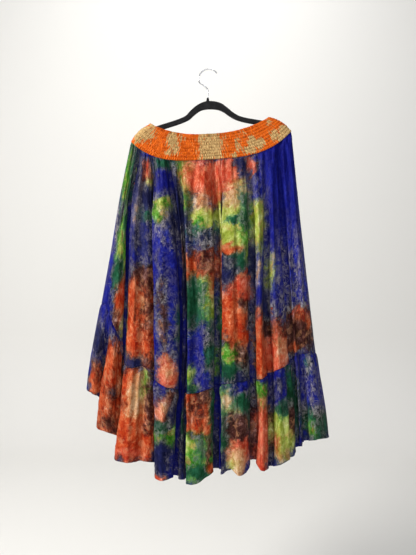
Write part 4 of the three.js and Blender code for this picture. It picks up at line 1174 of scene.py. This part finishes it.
FRONT_WANDER = 1.0
BACK_WANDER = 2.4  # fewer and wider clouds, so their edges wander more
dyed(skirt_front, skirt_front_grid, FRONT_SKIRT_DYE, FRONT_FROST, FRONT_WANDER, seed=201)
dyed(ruffle_front, ruffle_front_grid, FRONT_RUFFLE_DYE, FRONT_FROST, FRONT_WANDER, seed=205)
dyed(skirt_back, skirt_back_grid, BACK_SKIRT_DYE, BACK_FROST, BACK_WANDER, seed=221)
dyed(ruffle_back, ruffle_back_grid, BACK_RUFFLE_DYE, BACK_FROST, BACK_WANDER, seed=225)

# %% [markdown]
# The band has its own print: tan patches with streaky ends on orange. They are given in the same
# way, and the share of tan is kept on the mesh.

# %% Band print
# Columns: x, z, half width, half height, strength
FRONT_TAN = [
    (-172, -172, 26, 17, 1.0), (-186, -186, 14, 12, 0.8), (-150, -160, 12, 14, 0.7),
    (-95, -190, 13, 22, 1.0), (-86, -214, 10, 12, 0.9), (-104, -222, 11, 8, 0.8),
    (-72, -184, 8, 10, 0.7), (6, -210, 30, 48, 1.0), (-20, -186, 8, 20, 0.7), (24, -232, 14, 12, 0.8),
    (118, -192, 13, 15, 1.0), (136, -196, 13, 12, 1.0), (112, -214, 18, 10, 1.0),
    (78, -196, 7, 22, 0.6), (176, -174, 12, 14, 0.9), (204, -164, 18, 16, 1.0),
    (196, -184, 14, 10, 0.9), (160, -140, 8, 8, 0.7), (92, -170, 8, 8, 0.6), (70, -228, 10, 8, 0.7),
]
BACK_TAN = [
    (-180, -178, 22, 18, 1.0), (-120, -190, 16, 26, 1.0), (-46, -200, 26, 40, 1.0),
    (40, -214, 16, 26, 0.9), (100, -196, 24, 36, 1.0), (160, -170, 12, 18, 0.8),
    (200, -168, 16, 16, 1.0),
]


def printed(piece, grid, patches):
    x = grid[:, :, 0].reshape(-1)
    z = grid[:, :, 2].reshape(-1)
    tan = np.zeros(len(x))
    for middle_x, middle_z, wide, tall, strength in patches:
        reach = ((x - middle_x) / wide) ** 2 + ((z - middle_z) / tall) ** 2
        tan = np.maximum(tan, strength * faded(reach))
    keep_on(piece, "tan_print", "FLOAT", tan)
    print(piece.name, "has", len(patches), "tan patches")


printed(band_front, band_front_grid, FRONT_TAN)
printed(band_back, band_back_grid, BACK_TAN)

# %% [markdown]
# Shader helpers. A small builder keeps the node code short: it adds a node, sets its options and
# fills its sockets, with a value or with a link from another node.

# %% Node builder
class Nodes:
    def __init__(self, tree):
        self.tree = tree

    def fill(self, socket, value):
        if isinstance(value, bpy.types.NodeSocket):
            self.tree.links.new(value, socket)
        else:
            socket.default_value = value

    def add(self, kind, inputs=None, **options):
        node = self.tree.nodes.new(kind)
        for key, value in options.items():
            setattr(node, key, value)
        for key, value in (inputs or {}).items():
            self.fill(node.inputs[key], value)
        return node

    def group(self, tree, inputs):
        return self.add("ShaderNodeGroup", inputs, node_tree=tree).outputs

    def stored(self, name, output):
        """What keep_on stored on the mesh under this name."""
        return self.add("ShaderNodeAttribute", attribute_name=name).outputs[output]

    def math(self, operation, a, b=0.0, clamp=False):
        node = self.add("ShaderNodeMath", {0: a, 1: b}, operation=operation, use_clamp=clamp)
        return node.outputs[0]

    def times(self, a, b, clamp=False):
        return self.math("MULTIPLY", a, b, clamp)

    def vector(self, operation, a, b=(0, 0, 0)):
        node = self.add("ShaderNodeVectorMath", {0: a, 1: b}, operation=operation)
        return node.outputs["Value" if operation == "DOT_PRODUCT" else "Vector"]

    def scaled(self, a, factor):
        node = self.add("ShaderNodeVectorMath", {0: a, "Scale": factor}, operation="SCALE")
        return node.outputs["Vector"]

    def stretched(self, a, down):
        """The cloth's place with its length scaled, so that marks run long and upright."""
        return self.vector("MULTIPLY", a, (1.0, down, 1.0))

    def noise(self, vector, scale, detail=2.0, rough=0.5, bend=0.0, output="Fac"):
        node = self.add("ShaderNodeTexNoise", {
            "Vector": vector, "Scale": scale, "Detail": detail, "Roughness": rough, "Distortion": bend})
        return node.outputs[output]

    def step(self, value, low, high, bottom=0.0, top=1.0):
        node = self.add("ShaderNodeMapRange", {
            "Value": value, "From Min": low, "From Max": high, "To Min": bottom, "To Max": top},
            interpolation_type="SMOOTHSTEP")
        return node.outputs["Result"]

    def mix(self, amount, a, b):
        return self.add("ShaderNodeMix", {"Factor": amount, 6: a, 7: b}, data_type="RGBA").outputs[2]

    def bump(self, height, distance, strength):
        return self.add("ShaderNodeBump", {
            "Height": height, "Distance": distance, "Strength": strength}).outputs[0]


print("node builder:", [name for name in vars(Nodes) if not name.startswith("_")])

# %% [markdown]
# Groups and materials always start in the same way, so that is done by helpers too. A plain value
# is set on the shader's own socket. Colours are given as on a screen, from 0 to 255.

# %% Groups, materials and inks
def new_group(name, inputs, outputs):
    tree = bpy.data.node_groups.new(name, "ShaderNodeTree")
    for socket_name, kind in inputs:
        tree.interface.new_socket(name=socket_name, in_out="INPUT", socket_type="NodeSocket" + kind)
    for socket_name, kind in outputs:
        tree.interface.new_socket(name=socket_name, in_out="OUTPUT", socket_type="NodeSocket" + kind)
    nodes = Nodes(tree)
    given = nodes.add("NodeGroupInput").outputs
    result = nodes.add("NodeGroupOutput").inputs
    return tree, nodes, given, result


def new_material(name, **sockets):
    """A material with its plain values set. Underscores in a name stand for spaces."""
    material = bpy.data.materials.new(name)
    material.use_nodes = True
    shader = material.node_tree.nodes["Principled BSDF"]
    for key, value in sockets.items():
        shader.inputs[key.replace("_", " ")].default_value = value
    return material, Nodes(material.node_tree), shader.inputs


def ink(red, green, blue):
    """A colour given as 0 to 255 on a screen, turned into Blender's linear light."""
    parts = [c / 255 for c in (red, green, blue)]
    return tuple(c / 12.92 if c < 0.04045 else ((c + 0.055) / 1.055) ** 2.4 for c in parts)


def tone(red, green, blue):
    return (*ink(red, green, blue), 1)


print("middle grey in linear light:", round(ink(128, 128, 128)[0], 3))

# %% [markdown]
# Dye that dries in crumpled cloth leaves fine needles, like frost on a pane, that burst out of
# the points of the crumple. Each Voronoi cell is one burst. The direction from its middle, not
# the distance, picks the noise, so the noise turns into rays.

# %% Needle burst group
needle_tree, n, given, result = new_group(
    "needle_burst", [("Cloth", "Vector"), ("Bursts per metre", "Float")], [("Needles", "Float")])
wobble = n.vector("SUBTRACT", n.noise(given["Cloth"], 50.0, 1.0, output="Color"), (0.5, 0.5, 0.5))
bent = n.vector("ADD", given["Cloth"], n.scaled(wobble, 0.0025))
cells = n.scaled(bent, given["Bursts per metre"])
burst = n.add("ShaderNodeTexVoronoi", {"Vector": cells, "Scale": 1.0}, voronoi_dimensions="2D")
arm = n.vector("SUBTRACT", cells, burst.outputs["Position"])
turned_arm = n.scaled(n.vector("NORMALIZE", arm), 8.0)
own = n.scaled(burst.outputs["Color"], 37.0)
ray_place = n.vector("ADD", n.vector("ADD", turned_arm, own), n.scaled(arm, 0.6))
needle = n.step(n.noise(ray_place, 1.0, 1.5, 0.55), 0.5, 0.66)
fan = n.noise(n.vector("ADD", n.scaled(turned_arm, 0.15), own), 1.0, 1.0)
fade = n.step(burst.outputs["Distance"], 0.72, 0.1)
drawn = n.times(needle, n.step(fan, 0.42, 0.58), clamp=True)
n.fill(result["Needles"], n.times(drawn, fade, clamp=True))
print("nodes in the needle group:", len(needle_tree.nodes))

# %% [markdown]
# The dye group mixes the nine dyes. Each share is multiplied by its own noise and squared, so
# the strongest dye wins at every point and the edges break up into feathers. The dark dyes also
# creep out over the light ones along the needles. Dyes mix as inks do, so it is the logarithms
# of their colours that are averaged.

# %% Crumple dye group: mixing
INKS = {
    "blue": ink(9, 14, 100), "navy": ink(15, 18, 56), "green": ink(62, 120, 28),
    "pine": ink(14, 60, 38), "lime": ink(144, 156, 64), "orange": ink(166, 61, 27),
    "coral": ink(182, 74, 50), "tan": ink(182, 142, 102), "brown": ink(58, 30, 26),
}
# How far each dye creeps along the needles. The dark ones run out over the light ones.
CREEP = {
    "blue": 0.3, "navy": 2.4, "green": 0.5, "pine": 2.0, "lime": -0.2, "orange": -0.3,
    "coral": -0.3, "tan": -0.2, "brown": 2.4,
}
HALF = (0.5, 0.5, 0.5)
MEAN_OF_TWO = (0.58, 0.58, 0.58)
dye_tree, n, given, result = new_group(
    "crumple_dye",
    [("Cloth", "Vector"), ("Dye one", "Vector"), ("Dye two", "Vector"), ("Dye three", "Vector"),
     ("Frost", "Float")],
    [("Color", "Color"), ("Pale", "Float")])
cloth_at = given["Cloth"]
bending = n.vector("SUBTRACT", n.noise(cloth_at, 45.0, 4.0, 0.62, output="Color"), HALF)
bent = n.vector("ADD", cloth_at, n.scaled(bending, 0.022))
elsewhere = n.vector("ADD", cloth_at, (1.3, 2.1, 0))
large = n.group(needle_tree, {"Cloth": cloth_at, "Bursts per metre": 19.0})[0]
small = n.group(needle_tree, {"Cloth": elsewhere, "Bursts per metre": 42.0})[0]
fanned = n.math("MAXIMUM", large, n.times(small, 0.8))

total = 1e-6  # not nought, since the sums are divided by it
squares = 0.0
logs = (0.0, 0.0, 0.0)
for k, name in enumerate(["Dye one", "Dye two", "Dye three"]):
    three = DYES[3 * k:3 * k + 3]
    shifted = n.vector("ADD", bent, (0.37 * k, 0.61 * k, 0.2))
    coarse = n.noise(shifted, 42.0, 3.0, 0.6, 0.4, "Color")
    fine = n.noise(shifted, 150.0, 5.0, 0.75, 0.6, "Color")
    lively = n.scaled(n.vector("SUBTRACT", n.vector("ADD", coarse, fine), MEAN_OF_TWO), 2.2)
    lively = n.vector("ADD", lively, n.scaled(tuple(CREEP[dye] for dye in three), fanned))
    strong = n.vector("MULTIPLY", given[name], n.vector("MAXIMUM", lively, (0.05, 0.05, 0.05)))
    squared = n.vector("MULTIPLY", strong, strong)
    total = n.math("ADD", n.vector("DOT_PRODUCT", squared, (1, 1, 1)), total)
    squares = n.math("ADD", n.vector("DOT_PRODUCT", squared, squared), squares)
    split = n.add("ShaderNodeSeparateXYZ", {0: squared})
    for j, dye in enumerate(three):
        part = n.scaled(tuple(math.log(c) for c in INKS[dye]), split.outputs[j])
        logs = n.vector("ADD", part, logs)
logs = n.scaled(logs, n.math("DIVIDE", 1.0, total))

# %% [markdown]
# The mixed dye isn't even: where the noise makes it stronger its colour gets deeper and not just
# darker, because the logarithm is multiplied. It swings most in the warm dyes and in the frost.

# %% Crumple dye group: depth
red_log, green_log, blue_log = n.add("ShaderNodeSeparateXYZ", {0: logs}).outputs
warm = n.step(n.math("SUBTRACT", red_log, blue_log), -0.2, 1.2)
cool = n.math("SUBTRACT", 1.0, warm)
pure = n.math("DIVIDE", squares, n.times(total, total))
edge = n.step(pure, 0.98, 0.5)
soft = n.noise(n.stretched(bent, 0.6), 34.0, 4.0, 0.65, 0.3)
sharp = n.noise(n.stretched(bent, 0.7), 130.0, 6.0, 0.78, 0.8)
broad_swing = n.times(n.math("SUBTRACT", soft, 0.5), 2.4)
fine_swing = n.times(n.math("SUBTRACT", sharp, 0.5), 2.2)
swing_share = n.math("ADD", n.times(n.math("MAXIMUM", warm, given["Frost"]), 0.55), 0.45)
swing = n.times(n.math("ADD", broad_swing, fine_swing), swing_share)
depth = n.math("MAXIMUM", n.math("ADD", swing, 1.0), 0.35)
deep_logs = n.add("ShaderNodeSeparateXYZ", {0: n.scaled(logs, depth)}).outputs
mixed = n.add("ShaderNodeCombineXYZ", {j: n.math("EXPONENT", deep_logs[j]) for j in range(3)})
colour = mixed.outputs[0]

# %% [markdown]
# On top come the marks of crumple dyeing. Pale needles and specks lie over the cool dyes, at
# their edges and wherever the cloth is frosted. Dark needles and specks, thin veins and bare
# peach spots lie over the warm dyes.

# %% Crumple dye group: marks
frosty = n.times(n.step(sharp, 0.56, 0.44), n.step(soft, 0.42, 0.6))
here = n.math("ADD", n.times(edge, 0.5), given["Frost"])
here = n.math("ADD", here, 0.01, clamp=True)
pale = n.times(n.times(n.math("MAXIMUM", fanned, frosty), here), cool, clamp=True)
specks = n.step(sharp, 0.55, 0.68)
dark = n.times(n.math("MAXIMUM", n.times(fanned, 0.7), specks), warm)
dark = n.times(dark, n.math("ADD", n.times(edge, 0.6), 0.25), clamp=True)
veined = n.noise(n.stretched(bent, 0.5), 48.0, 5.0, 0.7, 0.4)
vein = n.times(n.step(n.math("ABSOLUTE", n.math("SUBTRACT", veined, 0.5)), 0.03, 0.004), warm)
bare = n.noise(n.vector("ADD", bent, (5.1, 0, 0)), 40.0, 4.0, 0.68, 0.4)
peach = n.times(n.step(bare, 0.5, 0.66), warm)
colour = n.mix(n.times(peach, 0.38), colour, tone(198, 138, 98))
colour = n.mix(n.times(vein, 0.2), colour, tone(60, 30, 34))
colour = n.mix(n.times(pale, 0.74), colour, tone(158, 152, 152))
colour = n.mix(n.times(dark, 0.8), colour, tone(44, 22, 34))
n.fill(result["Color"], colour)
n.fill(result["Pale"], pale)
print("nodes in the dye group:", len(dye_tree.nodes))

# %% [markdown]
# Crepe is woven from hard-twisted yarn, so its face is pebbly and it keeps small crinkles that
# run down the cloth. The group adds both into one height for the bump of each cloth.

# %% Crepe grain group
crepe_tree, n, given, result = new_group("crepe_grain", [("Cloth", "Vector")], [("Height", "Float")])
upright = n.stretched(given["Cloth"], 0.28)
crinkle = n.noise(upright, 210.0, 3.0, 0.55, 0.5)
pebble = n.noise(given["Cloth"], 900.0, 2.0, 0.6)
ridged = n.math("ABSOLUTE", n.math("SUBTRACT", n.noise(upright, 95.0, 2.0, 0.5, 0.8), 0.5))
height = n.math("ADD", n.times(crinkle, 0.7), n.times(pebble, 0.22))
n.fill(result["Height"], n.math("SUBTRACT", height, n.times(ridged, 1.3)))
print("nodes in the grain group:", len(crepe_tree.nodes))

# %% [markdown]
# The dyed cloth has little gloss of its own: crepe is matt, and its yarn only glints a little on
# the crests. Where needles leave the cloth pale it is a touch rougher. The ruffle is the same
# cloth, only a little rougher all over.

# %% Dyed cloth
def cloth_material(name, roughness):
    plain = {"Specular_IOR_Level": 0.05, "Sheen_Weight": 0.02, "Sheen_Roughness": 0.4}
    material, n, shader = new_material(name, **plain)
    cloth_at = n.add("ShaderNodeUVMap", uv_map="cloth").outputs["UV"]
    dye = n.group(dye_tree, {
        "Cloth": cloth_at,
        "Dye one": n.stored("dye_one", "Vector"),
        "Dye two": n.stored("dye_two", "Vector"),
        "Dye three": n.stored("dye_three", "Vector"),
        "Frost": n.stored("frost", "Fac"),
    })
    grain = n.group(crepe_tree, {"Cloth": cloth_at})[0]
    n.fill(shader["Base Color"], dye["Color"])
    n.fill(shader["Normal"], n.bump(grain, 0.0011, 0.9))
    n.fill(shader["Roughness"], n.step(dye["Pale"], 0.0, 1.0, roughness, roughness + 0.12))
    return material


skirt_cloth = cloth_material("crumple_dyed_crepe", 0.58)
ruffle_cloth = cloth_material("crumple_dyed_ruffle", 0.62)
print("dyed:", skirt_cloth.name, ruffle_cloth.name)

# %% [markdown]
# The band's cloth is printed, not crumple dyed: the tan runs into the orange in short upright
# streaks. Both colours come in a darker and a lighter tone that alternate in fine upright marks,
# painted shade and light that stand in for those of the puckers, and pale flecks of bare cloth
# show between them.

# %% Shirred cloth
def shirred_material():
    material, n, shader = new_material(
        "shirred_print", Roughness=0.66, Specular_IOR_Level=0.12, Sheen_Weight=0.02)
    cloth_at = n.add("ShaderNodeUVMap", uv_map="cloth").outputs["UV"]
    streaky = n.noise(n.stretched(cloth_at, 0.45), 110.0, 4.0, 0.62, 0.3)
    share = n.math("ADD", n.stored("tan_print", "Fac"), n.times(n.math("SUBTRACT", streaky, 0.5), 2.4))
    fine = n.noise(n.stretched(cloth_at, 0.25), 420.0, 3.0, 0.6)
    # each colour in a lighter and a darker tone mixed by fine upright noise: painted light and shade in
    # place of the puckers'
    orange_lit_and_shaded = n.mix(n.step(fine, 0.3, 0.7), tone(160, 54, 2), tone(216, 104, 8))
    tan_print = n.mix(n.step(fine, 0.34, 0.66), tone(130, 94, 50), tone(204, 172, 116))
    colour = n.mix(n.step(share, 0.40, 0.52), orange_lit_and_shaded, tan_print)
    flecks = n.step(n.noise(n.stretched(cloth_at, 0.4), 320.0, 2.0, 0.6), 0.63, 0.72)
    n.fill(shader["Base Color"], n.mix(n.times(flecks, 0.35), colour, tone(226, 188, 132)))
    grain = n.group(crepe_tree, {"Cloth": cloth_at})[0]
    n.fill(shader["Normal"], n.bump(grain, 0.0006, 0.9))
    return material


shirred_cloth = shirred_material()
print("printed:", shirred_cloth.name)

# %% [markdown]
# Flock is short nylon fluff that stands up from glue: almost no gloss, a soft light rim and a
# grainy face. The hook is plated wire, bright but a little hazed by handling. Thread is a fine
# twist, so its height alternates along it, and its colour goes dark in the grooves: painted
# shade.

# %% Flock, wire and thread
def flock_material():
    material, n, shader = new_material("black_flock_pile", Specular_IOR_Level=0.15, Sheen_Weight=0.25)
    at = n.add("ShaderNodeTexCoord").outputs["Object"]
    nap = n.noise(at, 90.0, 3.0, 0.6)
    fluff = n.noise(at, 2600.0, 2.0, 0.7)
    n.fill(shader["Base Color"], n.mix(n.step(nap, 0.35, 0.7), tone(9, 9, 11), tone(26, 26, 29)))
    n.fill(shader["Roughness"], n.step(nap, 0.3, 0.7, 0.9, 1.0))
    n.fill(shader["Normal"], n.bump(fluff, 0.0005, 0.8))
    return material


def wire_material():
    material, n, shader = new_material("plated_wire", Metallic=1.0)
    at = n.add("ShaderNodeTexCoord").outputs["Object"]
    haze = n.noise(at, 140.0, 4.0, 0.6)
    scratch = n.noise(n.vector("MULTIPLY", at, (1, 1, 6)), 700.0, 2.0, 0.5)
    n.fill(shader["Base Color"], n.mix(n.step(haze, 0.35, 0.7), tone(168, 170, 174), tone(214, 216, 220)))
    n.fill(shader["Roughness"], n.step(haze, 0.3, 0.75, 0.12, 0.32))
    n.fill(shader["Normal"], n.bump(scratch, 0.00005, 0.5))
    return material


def thread_material(name, dark, light):
    material, n, shader = new_material(name, Roughness=0.7)
    at = n.add("ShaderNodeTexCoord").outputs["Object"]
    wave = {"Vector": at, "Scale": 620.0, "Distortion": 2.0}
    twist_and_shade = n.add("ShaderNodeTexWave", wave, bands_direction="DIAGONAL").outputs["Fac"]
    # the colour follows the height of the twist: the darker tone in its grooves is painted shade
    n.fill(shader["Base Color"], n.mix(twist_and_shade, dark, light))
    n.fill(shader["Normal"], n.bump(twist_and_shade, 0.0001, 0.6))
    return material


flock = flock_material()
plated = wire_material()
blue_thread = thread_material("blue_thread", tone(22, 24, 70), tone(48, 52, 120))
orange_thread = thread_material("orange_thread", tone(130, 62, 16), tone(196, 112, 48))
print("materials:", len(bpy.data.materials))

# %% [markdown]
# Each piece now gets its material and takes the place of its solid, which is hidden. The panels
# are flared cuts, and the ruffle and the band are strips.

# %% Finishes and places
def finish(piece, material, slot, *nodes):
    piece.data.materials.append(material)
    if nodes:
        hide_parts(*nodes)


finish(skirt_front, skirt_cloth, "crumple_dyed_cloth", "skirt_front")
finish(skirt_back, skirt_cloth, "crumple_dyed_cloth", "skirt_back")
finish(ruffle_front, ruffle_cloth, "ruffle_cloth", "ruffle_front")
finish(ruffle_back, ruffle_cloth, "ruffle_cloth", "ruffle_back")
finish(band_front, shirred_cloth, "shirred_cloth", "waistband_front")
finish(band_back, shirred_cloth, "shirred_cloth", "waistband_back")
finish(hanger_bar, flock, "black_flock", "hanger_body")
finish(hanger_neck, flock, "black_flock")
finish(hook, plated, "hook_wire", "hanger_hook")
for thread in seam_threads:
    finish(thread, blue_thread, "crumple_dyed_cloth")
for thread in elastic_threads:
    finish(thread, orange_thread, "shirred_cloth")

print("thread pieces finished:", len(seam_threads) + len(elastic_threads))

# %% [markdown]
# All that was made should lie within the box of the solids, apart from the few millimetres that
# cloth may stand proud.
